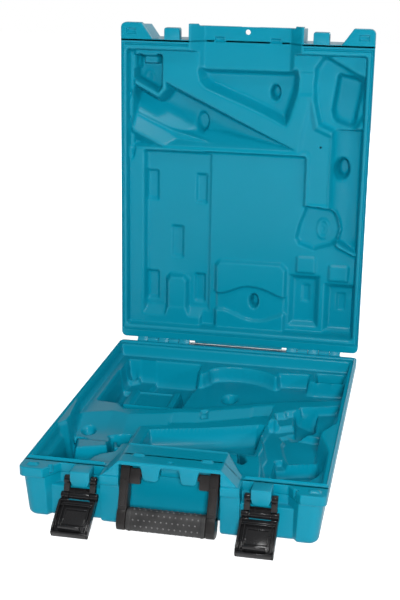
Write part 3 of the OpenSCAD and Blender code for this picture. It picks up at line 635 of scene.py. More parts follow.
def piece(bm, name, material, body, nodes, sharp=38.0):
    """A finished object from a bmesh, riding on a body and standing for its nodes."""
    mesh = as_mesh(bm, name)
    for poly in mesh.polygons:
        poly.use_smooth = True
    mesh.set_sharp_from_angle(angle=math.radians(sharp))
    mesh.materials.append(material)
    made = in_scene(name, mesh)
    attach(made, body)
    if nodes:
        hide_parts(*nodes)


def shell_rings(height, slot, slot_at, ledges, top, lip):
    """The rings of a half's outside, from its parting edge to its foot.

    A ring in brackets is measured from the edge where it starts, which lies at another height over
    the handle bay.
    """
    (side_lean, front_lean), (slot_w, slot_d) = LEAN, slot

    def outline(depth, step, add=0.0, slot_open=None, notch=None):
        share = max(depth, 0) / height if step else 0.0
        sx, sy = step + side_lean * share, step + front_lean * share
        is_open = depth > slot_at if slot_open is None else slot_open
        cut = notch if notch is not None else next(n for limit, n in ledges if depth <= limit)
        sections = plan(HALF_W - sx, FRONT + sy, REAR - sy, FRONT + (STEP if depth < 0 else sy),
                        CORNER_R if step else FLANGE_CORNER_R, cut, slot_w, slot_d if is_open else 0.0)
        return moved_in(sections, add) if add else sections

    rings = [((0.25,), moved_in(top, -0.75 * lip)), ((lip,), moved_in(top, -lip))]
    stops = []
    if slot_at < 0:
        stops += [(slot_at + 3, 0.0, 0.0), (-0.3, 0.0, 0.0), (0.0, 0.0, lip), (0.25, 0.0, 0.2)]
    stops += [(lip + 0.1, 0.0, 0.0), (FLANGE_H - lip, 0.0, 0.0), (FLANGE_H - 0.2, 0.0, 0.25),
              (FLANGE_H, 0.0, lip), (FLANGE_H + 0.05, STEP - 0.7, 0.0), (FLANGE_H + 0.7, STEP, 0.0)]
    stops += [(depth, STEP, 0.0) for depth in np.arange(FLANGE_H + 3, height - FOOT_R - 2, 5)]
    stops += [(height + FOOT_R * (math.sin(a) - 1), STEP, FOOT_R * (1 - math.cos(a)))
              for a in np.radians(range(0, 91, 15))]
    stops.append((height, STEP, FOOT_R + 2.0))
    rings += [(d, outline(d, step, add)) for d, step, add in stops]
    # the ledges where the slot opens and where the latch notches grow shallower
    step = STEP if slot_at > FLANGE_H else 0.0
    rings += [(slot_at, outline(slot_at, step, slot_open=False)),
              (slot_at + 1e-4, outline(slot_at, step, slot_open=True))]
    for k, (limit, deep) in enumerate(ledges[:-1]):
        shallow = ledges[k + 1][1]
        rings += [(limit, outline(limit, STEP, notch=deep)),
                  (limit + 1e-4, outline(limit, STEP, notch=shallow + 1.0)),
                  (limit + 0.3, outline(limit, STEP, notch=shallow + 0.3)),
                  (limit + 1.0, outline(limit, STEP, notch=shallow))]
    fixed = sorted((r for r in rings if not isinstance(r[0], tuple)), key=lambda r: r[0])
    return [r for r in rings if isinstance(r[0], tuple)] + fixed


def base_top(lip):
    """The base's parting edge: the handle bay's roof stands a little back from the flange."""
    f, floor = FRONT + lip, FRONT + NOTCH + lip
    s = plan(HALF_W - lip, f, REAR - lip, f + STEP, FLANGE_CORNER_R - lip, NOTCH, BAY_W, 0.0)
    s[3] = [(NOTCH_IN - lip, f), (NOTCH_IN - lip, floor), (NOTCH_FLOOR + lip, floor), (NOTCH_OUT + lip, f)]
    s[2][-1], s[4][0] = s[3][0], s[3][-1]
    for left, right in ((13, 3), (12, 4), (0, 2)):
        s[left] = mirrored(s[right])
    return s


def lid_top(lip):
    """The lid's parting edge: its middle starts lower, over the handle bay's roof."""
    s = base_top(lip)
    f, y = FRONT + lip, FRONT + STEP + lip + 1.1
    s[1] = [(-PADLOCK_W, y), (PADLOCK_W, y)]
    s[2] = [(PADLOCK_W, y), (64.5, y), (66, f), s[3][0]]
    s[0] = mirrored(s[2])
    return s


# ---------------------------------------------------------------- small pieces

def whole(verts):
    """All the corners of the faces that these corners belong to."""
    return list({v for f in {f for v in verts for f in v.link_faces} for v in f.verts})


def rounded_edges(bm, edges, radius, segments, **settings):
    return bmesh.ops.bevel(bm, geom=edges, offset=radius, segments=segments, affect="EDGES", profile=0.5,
                           material=-1, **settings)["verts"]


def block(bm, low, high, edge=0.6, segments=2):
    """A box between two corners with rounded edges."""
    made = bmesh.ops.create_cube(bm, size=1)["verts"]
    low, high = Vector(low), Vector(high)
    size, middle = high - low, (low + high) / 2
    for v in made:
        v.co = v.co * size + middle
    return whole(rounded_edges(bm, list({e for v in made for e in v.link_edges}), edge, segments,
                               clamp_overlap=True))


def barrel(bm, x0, x1, y, z, radius, edge=0.4, segments=32):
    """A round boss along X."""
    made = bmesh.ops.create_cone(bm, segments=segments, radius1=radius, radius2=radius, depth=x1 - x0,
                                 cap_ends=True)["verts"]
    bmesh.ops.rotate(bm, verts=made, cent=(0, 0, 0), matrix=Matrix.Rotation(math.pi / 2, 3, "Y"))
    bmesh.ops.translate(bm, verts=made, vec=((x0 + x1) / 2, y, z))
    rims = [e for e in {e for v in made for e in v.link_edges} if abs(e.verts[0].co.x - e.verts[1].co.x) < 1e-4]
    return whole(rounded_edges(bm, rims, edge, 2))


def prism(bm, profile, x0, x1, edge=0.5, segments=2):
    """A closed profile of (y, z) points drawn along X, with rounded edges."""
    verts = [bm.verts.new((x0, y, z)) for y, z in profile]
    face = bm.faces.new(verts)
    out = bmesh.ops.extrude_face_region(bm, geom=[face])["geom"]
    far = [g for g in out if isinstance(g, bmesh.types.BMVert)]
    bmesh.ops.translate(bm, verts=far, vec=(x1 - x0, 0, 0))
    made = verts + far
    if edge:
        sharp = [e for e in {e for v in made for e in v.link_edges} if len(e.link_faces) == 2
                 and e.calc_face_angle(0) > math.radians(25)]
        made = rounded_edges(bm, sharp, edge, segments, clamp_overlap=True)
    return whole(made)


def finish(bm, place=None, mirror=False):
    """Places a mesh drawn in millimetres, mirrors it for the left side, and turns its faces outwards."""
    if place is not None:
        bmesh.ops.transform(bm, matrix=place, verts=bm.verts)
    if mirror:
        bmesh.ops.scale(bm, vec=(-1, 1, 1), verts=bm.verts)
    bmesh.ops.scale(bm, vec=(MM, MM, MM), verts=bm.verts)
    bmesh.ops.recalc_face_normals(bm, faces=bm.faces)
    return bm


def both_sides(bm, verts):
    """A mirrored copy of part of a mesh on the other side of X = 0."""
    faces = list({f for v in verts for f in v.link_faces})
    copy = bmesh.ops.duplicate(bm, geom=list(verts) + faces + list({e for f in faces for e in f.edges}))["geom"]
    bmesh.ops.scale(bm, vec=(-1, 1, 1), verts=[g for g in copy if isinstance(g, bmesh.types.BMVert)])


def turned_at(joint, degrees):
    """Where a piece drawn about a joint stands at rest."""
    return Matrix.Translation(JOINTS[joint]) @ Matrix.Rotation(math.radians(degrees), 4, "X")


HANDLE = turned_at("handle_hinge", -21)
LINK = turned_at("right_link_hinge", -18)
LEVER = turned_at("right_lever_hinge", 180 - 58)
REACH, ARM_IN, ARM_OUT = 51.0, 44.0, 54.0      # the grip's distance from the pivot, and the arms' two sides
PIN_SEAT = 4.0                                 # radius of the pivots and barrels
GRIP_W, GRIP_H, GRIP_R = 21.6, 24.6, 8.0
DOTS_IN_ROW, DOT_PITCH = 12, 6.2
EAR_IN, EAR_OUT, LINK_FOOT, BARREL_W = 11.4, 17.9, 13.1, 11.5


def rounded_section(w, h, r, n=6, up=0.0):
    """A rectangle with rounded corners, its middle at a height."""
    x, y = w / 2 - r, h / 2 - r
    corners = ((x, -y, -90), (x, y, 0), (-x, y, 90), (-x, -y, 180))
    return [(a, b + up) for cx, cy, start in corners for a, b in arc(cx, cy, r, start, start + 90, n)]


def build_handle(material, settings):
    edge = settings.arm_edge / MM
    bm = bmesh.new()
    arm = [(-8.2, -REACH + 6), (-8.2, -6)] + arc(0, 0, 8.4, 180, 0, 10)[1:-1] + [(8.2, -6), (8.2, -REACH + 6)]
    both_sides(bm, prism(bm, arm, ARM_IN, ARM_OUT, edge=edge))
    # a raised rib down the outside of each arm and the block that stops it against the bay
    both_sides(bm, block(bm, (ARM_IN + 2.2, -8.9, -REACH + 14), (ARM_OUT - 2.2, 0, -9), edge=0.6))
    both_sides(bm, block(bm, (32.6, -4.2, -13), (45, 4.2, 3.6), edge=0.8))
    both_sides(bm, barrel(bm, 13.2, 45, 0, 0, PIN_SEAT, edge=0.5))
    # the heel that turns each arm into the grip
    both_sides(bm, prism(bm, rounded_section(22, 25, 8, up=-REACH), ARM_IN, ARM_OUT, edge=edge + 0.2))
    prism(bm, rounded_section(13, 13, 6.4, up=-REACH), -ARM_IN - 1, ARM_IN + 1, edge=0)
    piece(finish(bm, HANDLE), "carry_handle", material, "handle", ["handle_frame"])


def build_grip(material, settings):
    radius, height, rows = settings.dot_radius / MM, settings.dot_height / MM, settings.dot_rows
    bm = bmesh.new()
    ring = rounded_section(GRIP_W, GRIP_H, GRIP_R, 8, up=-REACH)
    prism(bm, ring, -ARM_IN + 0.4, ARM_IN - 0.4, edge=1.0)
    for x in (40, -40):
        prism(bm, rounded_section(GRIP_W + 1, GRIP_H + 1, GRIP_R + 0.4, 8, up=-REACH), x - 1.6, x + 1.6,
              edge=0.6)
    piece(finish(bm, HANDLE), "dimpled_grip", material, "handle", ["handle_grip"], sharp=50)
    # raised dots rubbed paler, laid out round the grip in staggered rows
    bm = bmesh.new()
    for row in range(rows):
        u = (row + 0.5) / rows
        (y, z), (y2, z2) = at(ring + ring[:1], np.array([u, u + 0.005]))
        out = Vector((0, z2 - z, y - y2)).normalized()
        for k in range(DOTS_IN_ROW):
            x = -35.5 + k * DOT_PITCH + (DOT_PITCH / 2 if row % 2 else 0)
            dot = bmesh.ops.create_icosphere(bm, subdivisions=1, radius=radius)["verts"]
            bmesh.ops.translate(bm, verts=dot, vec=Vector((x, y, z)) + out * (height - radius))
    piece(finish(bm, HANDLE), "grip_dots", finish_of("rubbed rubber"), "handle", [], sharp=80)


def build_link(side, material, settings):
    """Two ears round the pin of the base, joined by a plate that carries the lever's barrel."""
    edge = settings.edge / MM
    bm = bmesh.new()
    ears = [(-3.2, -LINK_FOOT), (-3.2, -4)] + arc(0, 0, 5.0, 220, -40, 16) + [(3.2, -4), (3.2, -LINK_FOOT)]
    both_sides(bm, prism(bm, ears, EAR_IN, EAR_OUT, edge=edge - 0.1))
    block(bm, (-EAR_OUT, -2, -LINK_FOOT), (EAR_OUT, 2, -9), edge=0.5)
    block(bm, (-BARREL_W, -2, -17.5), (BARREL_W, 2, -9), edge=0.4)
    barrel(bm, -BARREL_W, BARREL_W, 0, -17.5, PIN_SEAT, edge=0.4)
    both_sides(bm, block(bm, (5, -2.6, -16.5), (7, 2.6, -9.5), edge=0.4))
    piece(finish(bm, LINK, side == "left"), side + "_latch_link", material, side + "_latch_link",
          [side + "_link"])


def build_lever(side, material, settings):
    """A ribbed tray with a barrel on each side of the link and a hook near its free end."""
    edge, rim_width = settings.edge / MM, settings.rim_width / MM
    bm = bmesh.new()
    half, back, length = 20.5, 4.0, 50.0
    block(bm, (-half, -back, 4.8), (half, -back + 2.2, length), edge=0.5)
    rim = [(-back, 4.8), (-back, length), (2.2, length), (5.0, length - 5), (5.0, 9.5), (2.0, 5.4)]
    both_sides(bm, prism(bm, rim, half - rim_width, half, edge=edge))
    rib = [(-back, 10), (-back, length - 6), (-1.2, length - 6.5), (1.6, length - 9), (1.6, 13), (-1.2, 10.5)]
    both_sides(bm, prism(bm, rib, half - 6.4, half - 5.2, edge=0.3))
    for a, b in ((11.9, half), (-half, -11.9)):
        barrel(bm, a, b, 0, 0, PIN_SEAT, edge=0.4)
        block(bm, (a, -back, 0), (b, -back + 2.4, 6), edge=0.3)
    # stiffening bars, the inner frame and the lip at the free end
    for u, high in ((8.2, 1.0), (11.2, 2.4)):
        block(bm, (-half + 1, -back, u), (half - 1, -back + 2.2 + high, u + 1.8), edge=0.5)
    for u in (16.2, 34.5):
        block(bm, (-12.5, -back, u), (12.5, -back + 3.2, u + 1.4), edge=0.4)
    both_sides(bm, block(bm, (11.1, -back, 16.2), (12.5, -back + 3.2, 35.9), edge=0.4))
    block(bm, (-half, -back, length - 2.4), (half, 4.0, length), edge=0.7)
    block(bm, (-half + 2, -back, length - 7.5), (half - 2, -back + 3.6, length - 5.8), edge=0.4)
    # hook
    prism(bm, [(-back, 43.6), (10.4, 43.6), (11.4, 44.4), (11.4, 46.2), (-back, 46.4)], -12, 12, edge=0.4)
    piece(finish(bm, LEVER, side == "left"), side + "_latch_lever", material, side + "_latch_lever",
          [side + "_lever"])


def slab(bm, profile, y0, y1, edge):
    """A closed profile of (x, z) points drawn along Y, with rounded edges."""
    verts = prism(bm, profile, y0, y1, edge, 3)
    for v in verts:
        v.co = v.co.yxz
    return verts


# place and radius of the padlock's hole, of the locating sockets and of the lid's vent
PADLOCK_HOLE, SOCKETS, VENT = (0, -212, 3.5), ((136, -211, 3.3), (-136, -211, 3.3)), (104, -63, 1.5)
BASE_PANEL, LID_PANEL = (-138, 138, -174, 198, 12), (-138, 138, -180, 198, 12)
KNUCKLE_START, KNUCKLE_PITCH, KNUCKLE_W, KNUCKLE_R = 70.25, 15.2, 14.7, 4.6


def to_base(x, y, d):
    return (x, y, BASE_H - d)


def to_lid(x, y, d):
    return (x, HINGE_Y + d, PARTING + HINGE_Y - y)


def build_base(material, settings):
    """The lower half: the handle bay opens above its parting face, and its latch notches grow shallower."""
    lip = settings.lip / MM
    top = base_top(lip)
    outside = shell_rings(BASE_H, (BAY_W, BAY_D), -14.0, [(22.0, NOTCH), (NO_LIMIT, LOWER_NOTCH)], top, lip)
    base = moulding(base_tray, lambda x, v: -locating(x, v, 0.0), BASE_H, top, outside, BASE_PANEL, settings)
    holes = [(*PADLOCK_HOLE, -25, -5)] + [(*socket, -5, 9) for socket in SOCKETS]
    piece(drilled(base, holes, to_base), "base_moulding", material, "base", ["base_shell"],
          sharp=60)


def build_lid(material, settings):
    """The upper half, with room for the base's tongue and bosses, a padlock hole and the vent."""
    lip = settings.lip / MM
    top = lid_top(lip)
    outside = shell_rings(LID_H, (PADLOCK_W, PADLOCK_D), 23.5, [(NO_LIMIT, NOTCH)], top, lip)
    lid = moulding(lid_tray, lambda x, v: locating(x, v, 0.4), LID_H, top, outside, LID_PANEL, settings)
    holes = [(*PADLOCK_HOLE, 8, 40), (*VENT, 8, 30)]
    piece(drilled(lid, holes, to_lid), "lid_moulding", material, "lid", ["lid_shell"], sharp=60)


def knuckles(bm, parity, root):
    """Every other knuckle along the rod on both sides, its section ending in root."""
    for k in range(5):
        if k % 2 == parity:
            x = KNUCKLE_START + KNUCKLE_PITCH * k
            both_sides(bm, prism(bm, root, x, x + KNUCKLE_W, edge=0.5))


def build_fittings(material, edge):
    """Lugs, handle tabs, catches, knuckles and the covers over the rod."""
    bm = bmesh.new()
    lug = [(89, 60), (111, 60), (111, 49), (109, 43.5), (106.5, 42), (93.5, 42), (91, 43.5), (89, 49)]
    both_sides(bm, slab(bm, lug, -221.2, -199.5, edge=edge))
    tab = [(7, 76), (35, 76), (33.5, 73.2), (31.5, 70), (29.5, 59), (27, 56.4), (15, 56.4), (12.5, 59),
           (10.8, 70), (9, 73.2)]
    both_sides(bm, slab(bm, tab, -219.4, -203.5, edge=edge * 0.9))
    knuckles(bm, 1, [(218, 51), (223.5, 51)] + arc(HINGE_Y, PARTING, KNUCKLE_R, -55, 175, 14)
             + [(220.6, 58), (218, 57)])
    block(bm, (-63, 218, 50.25), (63, 226, 57.25), edge=1.6, segments=3)
    piece(finish(bm), "base_fittings", material, "base", [])

    bm = bmesh.new()
    catch = [(89.5, 485), (110.5, 485), (110.5, 500), (109.5, 502), (90.5, 502), (89.5, 500)]
    both_sides(bm, slab(bm, catch, 226.2, 241.5, edge=0.9))
    knuckles(bm, 0, [(235, 68), (235, 62.5)] + arc(HINGE_Y, PARTING, KNUCKLE_R, 35, -185, 14)
             + [(226.4, 65), (227.4, 68)])
    block(bm, (-63, 228.75, 60), (63, 235.75, 68), edge=1.6, segments=3)
    piece(finish(bm), "lid_fittings", material, "lid", [])


# ---------------------------------------------------------------- finishes

def node(tree, kind, links=(), **settings):
    """A new node with its settings and its inputs, each a value or another node's output."""
    made = tree.nodes.new(kind)
    for key, value in settings.items():
        setattr(made, key, value)
    for socket, value in dict(links).items():
        if isinstance(value, bpy.types.NodeSocket):
            tree.links.new(value, made.inputs[socket])
        else:
            made.inputs[socket].default_value = value
    return made


def sum_of(tree, operation, a, b, clamp=False):
    return node(tree, "ShaderNodeMath", {0: a, 1: b}, operation=operation, use_clamp=clamp).outputs[0]


def above(tree, value, floor, gain):
    """How far a value lies above a floor, times a gain, held between 0 and 1."""
    return sum_of(tree, "MULTIPLY", sum_of(tree, "SUBTRACT", value, floor), gain, clamp=True)


def ranged(tree, value, low, high, start=0.0, end=1.0):
    """A value carried from the range start to end over to the range low to high."""
    limits = {"From Min": start, "From Max": end, "To Min": low, "To Max": high}
    return node(tree, "ShaderNodeMapRange", {"Value": value, **limits}).outputs["Result"]


def mixed(tree, share, a, b):
    """Two numbers mixed by a share of the second."""
    return node(tree, "ShaderNodeMix", {"Factor": share, "A": a, "B": b}).outputs["Result"]


def mixed_colour(tree, share, a, b):
    """Two colours mixed by a share of the second, each a tuple or another node's output."""
    first, second = [(*c, 1) if isinstance(c, tuple) else c for c in (a, b)]
    return node(tree, "ShaderNodeMix", {0: share, 6: first, 7: second}, data_type="RGBA").outputs[2]


def noise(tree, place, scale, detail):
    return node(tree, "ShaderNodeTexNoise", {"Vector": place, "Scale": scale, "Detail": detail}).outputs["Fac"]


def own_place(tree, kind="Object"):
    return node(tree, "ShaderNodeTexCoord").outputs[kind]


def stretched(tree, place, scale, turn=(0, 0, 0)):
    """A place turned and drawn out, for lines instead of spots."""
    return node(tree, "ShaderNodeMapping", {"Vector": place, "Rotation": turn,
                                            "Scale": scale}).outputs["Vector"]


def moulded_grain(tree, given):
    """Fine orange-peel grain and slow waves of a moulded skin, as one height."""
    place = own_place(tree)
    fine = noise(tree, place, given["Grain Scale"], 2.0)
    slow = noise(tree, place, given["Wave Scale"], 1.0)
    return mixed(tree, given["Wave Share"], fine, slow), slow


def edge_highlight_and_wear(tree, given):
    """A mask of convex outer edges, broken up by noise, where a paler colour is laid as a painted highlight
    along the lips that partly stands for rubbed wear.
    """
    bend = node(tree, "ShaderNodeNewGeometry").outputs["Pointiness"]
    edge = above(tree, bend, FLAT_BEND, given["Sharpness"])
    return (sum_of(tree, "MULTIPLY", edge, noise(tree, own_place(tree), given["Break Up"], 3.0), clamp=True),)


def handling_marks(tree, given):
    """Faint dust and rubbing: soft patches with short fine scratches in them."""
    place = own_place(tree)
    drawn = stretched(tree, place, (1.0, 0.06, 1.0), (0.4, 0.7, 0.3))
    soft = above(tree, noise(tree, place, given["Patch Scale"], 4.0), 0.45, 2.5)
    fine = above(tree, noise(tree, drawn, given["Scratch Scale"], 2.0), 0.6, 4.0)
    patches, scratches = sum_of(tree, "MULTIPLY", soft, 0.6), sum_of(tree, "MULTIPLY", fine, 0.4)
    return (sum_of(tree, "ADD", patches, scratches, clamp=True),)


FLAT_BEND = 0.515        # pointiness of a surface that is not an edge
# for each effect: what makes it, its inputs and its outputs
EFFECTS = {
    "moulded grain": (moulded_grain, {"Grain Scale": 900.0, "Wave Scale": 28.0, "Wave Share": 0.5},
                      ("Height", "Mottle")),
    # pointiness mask for the painted highlight on convex edges, partly rubbed wear
    "edge wear": (edge_highlight_and_wear, {"Sharpness": 14.0, "Break Up": 60.0}, ("Mask",)),
    "handling marks": (handling_marks, {"Patch Scale": 9.0, "Scratch Scale": 120.0}, ("Mask",)),
}


def effect(name):
    """A shared node group with named inputs and outputs, made at first use."""
    if name in bpy.data.node_groups:
        return bpy.data.node_groups[name]
    make, inputs, outputs = EFFECTS[name]
    group = bpy.data.node_groups.new(name, "ShaderNodeTree")
    for label, value in inputs.items():
        socket = group.interface.new_socket(name=label, in_out="INPUT", socket_type="NodeSocketFloat")
        socket.default_value = value
    for label in outputs:
        group.interface.new_socket(name=label, in_out="OUTPUT", socket_type="NodeSocketFloat")
    given, out = group.nodes.new("NodeGroupInput"), group.nodes.new("NodeGroupOutput")
    for label, value in zip(outputs, make(group, given.outputs)):
        group.links.new(value, out.inputs[label])
    return group


def placed(tree, name, *values):
    """A shared effect placed in a material, with its own values for its inputs."""
    return node(tree, "ShaderNodeGroup", dict(enumerate(values)), node_tree=effect(name)).outputs


def new_material(name):
    made = bpy.data.materials.new(name)
    made.use_nodes = True
    return made, made.node_tree, made.node_tree.nodes["Principled BSDF"]


def dressed(tree, shader, colour, roughness, height, strength, distance):
    """Gives a shader its colour, roughness and relief."""
    relief = node(tree, "ShaderNodeBump", {"Height": height, "Strength": strength, "Distance": distance})
    tree.links.new(colour, shader.inputs["Base Color"])
    tree.links.new(roughness, shader.inputs["Roughness"])
    tree.links.new(relief.outputs["Normal"], shader.inputs["Normal"])


MOTTLED, DULLED = 0.93, 0.12     # share of the colour in darker patches, and roughness that handling adds
GRAIN_DEPTH, WIRE_LINE_DEPTH = 0.0004, 0.0001


def moulded_plastic(name, colour, worn, roughness, gloss, grain, rubbed, relief):
    """Moulded plastic: an even colour with convex edges painted paler, a painted highlight that partly stands
    for rubbed wear, faint marks in its gloss and a fine grain.
    """
    made, tree, shader = new_material(name)
    skin = placed(tree, "moulded grain", *grain)
    shade = mixed_colour(tree, skin["Mottle"], tuple(c * MOTTLED for c in colour), colour)
    # share of the painted highlight on convex edges, partly rubbed wear, from the pointiness mask
    edge_highlight_and_wear_share = sum_of(tree, "MULTIPLY", placed(tree, "edge wear")["Mask"], rubbed)
    tint = mixed_colour(tree, edge_highlight_and_wear_share, shade, worn)
    rough = ranged(tree, placed(tree, "handling marks")["Mask"], roughness, roughness + DULLED)
    dressed(tree, shader, tint, rough, skin["Height"], relief, GRAIN_DEPTH)
    shader.inputs["Specular IOR Level"].default_value = gloss
    return made


def drawn_steel(name, colour):
    """Bright drawn wire: fine lines along X, with duller patches."""
    made, tree, shader = new_material(name)
    lines = noise(tree, stretched(tree, own_place(tree), (0.02, 1.0, 1.0)), 2500.0, 2.0)
    dull = tuple(c * 0.75 for c in colour)
    tint = mixed_colour(tree, placed(tree, "handling marks")["Mask"], colour, dull)
    dressed(tree, shader, tint, ranged(tree, lines, 0.3, 0.5), lines, 0.15, WIRE_LINE_DEPTH)
    shader.inputs["Metallic"].default_value = 1.0
    return made


def paler(gain, lift):
    """A change of colour: each channel times its gain, plus its lift."""
    return lambda colour: tuple(float(v) for v in np.array(colour) * gain + lift)


# for each plastic: its colour in the sidebar and the change from it, and the paler colour of its convex edges,
# partly painted highlight and partly rubbed wear;
# then roughness, gloss, grain (scale, scale of the waves, their share), share of that painted edge highlight
# and wear, and relief
SAME = paler(1, 0)
FINISHES = {
    # the teal's convex edges are painted paler and bluer: a painted highlight on the lips, partly rubbed wear
    "teal case plastic": ("case", SAME, paler((1, 1.25, 1.2), (0.06, 0.04, 0.04)),
                          0.28, 0.28, (1100.0, 16.0, 0.55), 0.55, 0.25),
    "black latch plastic": ("latch", SAME, paler(1, 0.02),
                            0.15, 0.4, (1500.0, 40.0, 0.4), 0.5, 0.06),
    "satin handle plastic": ("handle", SAME, paler(1, (0.05, 0.045, 0.045)),
                             0.36, 0.35, (1300.0, 35.0, 0.35), 0.7, 0.3),
    "rubbed rubber": ("grip", paler(3, 0.05), paler(1, 0.1),
                      0.45, 0.5, (1800.0, 60.0, 0.3), 1.0, 0.2),
    "grip rubber": ("grip", SAME, paler(1, 0.07),
                    0.5, 0.4, (1800.0, 60.0, 0.3), 1.6, 0.35),
}


def finish_of(kind):
    """The material of a kind of piece, made at first use from the colours in the sidebar."""
    if kind in bpy.data.materials:
        return bpy.data.materials[kind]
    colours = bpy.context.scene.tool_case_colours
    if kind not in FINISHES:
        return drawn_steel(kind, tuple(colours.steel))
    colour_name, own, worn, *settings = FINISHES[kind]
    shade = own(getattr(colours, colour_name))
    # the edge colour is a painted highlight on the lips, partly rubbed wear
    return moulded_plastic(kind, shade, worn(shade), *settings)


# ---------------------------------------------------------------- stage

# place, size, share of the main lamp's power, and whether gloss mirrors the lamp
LAMPS = (
    ((0.5, -2.2, 1.0), 0.35, 1.0, False),
    ((2.0, -0.9, 1.0), 0.35, 0.16, True),
    ((0.1, -0.75, 2.1), 0.25, 0.14, True),
    ((0.6, 2.4, 0.8), 0.5, 0.8, False),
    ((-2.4, 0.4, 0.8), 0.5, 0.3, False),
)
LAMP_AIM = Vector((0, 0, 0.2))
CAMERA_PLACE = (250.45, -1357.04, 622.77)
CAMERA_YAW, CAMERA_PITCH, CAMERA_ROLL = -10.94, 17.12, 0.94
FOCAL = 1189.44 / 600     # of the picture's height
SENSOR = 36


def mirrored_rays(tree, path):
    return sum_of(tree, "MAXIMUM", path["Is Glossy Ray"], path["Is Transmission Ray"])


def floor_finish(colour):
    """A pale floor that a camera sees as white, with the case's shadow on it."""
    made, tree, shader = new_material("pale floor")
    shader.inputs["Base Color"].default_value = (*colour, 1)
    shader.inputs["Roughness"].default_value = 1.0
    shader.inputs["Specular IOR Level"].default_value = 0.0
    shader.inputs["Emission Color"].default_value = (1, 1, 1, 1)
    path = node(tree, "ShaderNodeLightPath").outputs
    away = node(tree, "ShaderNodeVectorMath", {0: own_place(tree)}, operation="LENGTH").outputs["Value"]
    glow = sum_of(tree, "MULTIPLY", ranged(tree, away, 0.76, 1.0, 0.55, 1.5), path["Is Camera Ray"])
    in_gloss = sum_of(tree, "MULTIPLY", mirrored_rays(tree, path), 0.2)
    tree.links.new(sum_of(tree, "MAXIMUM", glow, in_gloss), shader.inputs["Emission Strength"])
    return made


def studio_world(fill):
    """An even pale room: white where it is seen, with a low fill of light.

    Mirrored in gloss, it is white overhead, behind the case and at its right, and dimmer in front of it.
    """
    world = bpy.data.worlds.new("studio")
    world.use_nodes = True
    tree = world.node_tree
    path = node(tree, "ShaderNodeLightPath").outputs
    way = own_place(tree, "Generated")
    sideways = node(tree, "ShaderNodeVectorMath", {0: way, 1: (0.8, 0.6, 0.1)},
                    operation="DOT_PRODUCT").outputs["Value"]
    up = node(tree, "ShaderNodeSeparateXYZ", {0: way}).outputs["Z"]
    in_gloss = sum_of(tree, "MAXIMUM", ranged(tree, sideways, 0.06, 0.9, 0.0, 0.5),
                      ranged(tree, up, 0.0, 0.35, 0.5, 0.8))
    lit = mixed(tree, mirrored_rays(tree, path), fill, in_gloss)
    sky = tree.nodes["Background"]
    sky.inputs["Color"].default_value = (1, 1, 1, 1)
    tree.links.new(mixed(tree, path["Is Camera Ray"], lit, 1.0), sky.inputs["Strength"])
    return world


def build_floor(settings):
    bm = bmesh.new()
    bmesh.ops.create_grid(bm, x_segments=1, y_segments=1, size=settings.floor_size / 2)
    mesh = as_mesh(bm, "floor")
    mesh.materials.append(floor_finish(tuple(settings.floor_colour)))
    in_scene("floor", mesh)


def build_camera():
    cam = in_scene("camera", bpy.data.cameras.new("camera"))
    yaw, pitch, roll = map(math.radians, (CAMERA_YAW, CAMERA_PITCH, CAMERA_ROLL))
    ahead = Vector((math.sin(yaw) * math.cos(pitch), math.cos(yaw) * math.cos(pitch), -math.sin(pitch)))
    right = Vector((math.cos(yaw), -math.sin(yaw), 0))
    up = right.cross(ahead)
    rolled_right = right * math.cos(roll) + up * math.sin(roll)
    rolled_up = up * math.cos(roll) - right * math.sin(roll)
    turn = Matrix((rolled_right, rolled_up, -ahead)).transposed().to_4x4()
    turn.translation = Vector(CAMERA_PLACE) * MM
    cam.matrix_world = turn
    cam.data.sensor_width = SENSOR
    cam.data.lens = FOCAL * SENSOR
    cam.data.clip_start = 0.05
    bpy.context.scene.camera = cam


def build_lamps(power):
    for place, size, share, mirrored_in_gloss in LAMPS:
        lamp = in_scene("lamp", bpy.data.lights.new("lamp", "AREA"))
        lamp.data.size = size
        lamp.data.energy = power * share
        lamp.location = place
        lamp.visible_glossy = mirrored_in_gloss
        lamp.rotation_euler = (LAMP_AIM - Vector(place)).to_track_quat("-Z", "Y").to_euler()


def build_stage(settings):
    build_floor(settings)
    build_camera()
    bpy.context.scene.world = studio_world(settings.fill)
    build_lamps(settings.key_power)
    bpy.context.scene.view_settings.view_transform = "Standard"


# ---------------------------------------------------------------- sidebar

def length(label, description, value, low=0.0, high=10.0):
    return bpy.props.FloatProperty(name=label, description=description, default=value, min=low, max=high,
                                   unit="LENGTH", subtype="DISTANCE")


def colour(label, description, value):
    return bpy.props.FloatVectorProperty(name=label, description=description, default=value, size=3, min=0.0,
                                         max=1.0, subtype="COLOR")


class ToolCaseMouldings(bpy.types.PropertyGroup):
    """Sizes of the two moulded halves."""
    lip: length("Parting edge radius", "Rounding of the edge where the halves meet", 0.0008, 0.0003, 0.002)
    grid: length("Surface spacing", "Largest distance between two lines of the moulded surface", 0.00155,
                 0.0012, 0.004)
    lug_edge: length("Lug edge radius", "Rounding of the latch lugs and handle tabs", 0.0013, 0.0003, 0.0018)


class ToolCaseHandle(bpy.types.PropertyGroup):
    """Sizes of the handle and its grip."""
    arm_edge: length("Arm edge radius", "Rounding of the handle's arms", 0.0011, 0.0003, 0.002)
    dot_radius: length("Dot radius", "Radius of each raised dot on the grip", 0.00125, 0.0005, 0.002)
    dot_height: length("Dot height", "How far each dot stands out of the grip", 0.0008, 0.0002, 0.0012)
    dot_rows: bpy.props.IntProperty(name="Rows of dots", description="Rows of dots round the grip", default=12,
                                    min=4, max=16)


class ToolCaseLatches(bpy.types.PropertyGroup):
    """Sizes of the latch levers and links."""
    rim_width: length("Rim width", "Width of the raised rim along each lever", 0.0024, 0.001, 0.004)
    edge: length("Edge radius", "Rounding of the rims and ears", 0.0006, 0.0002, 0.0009)


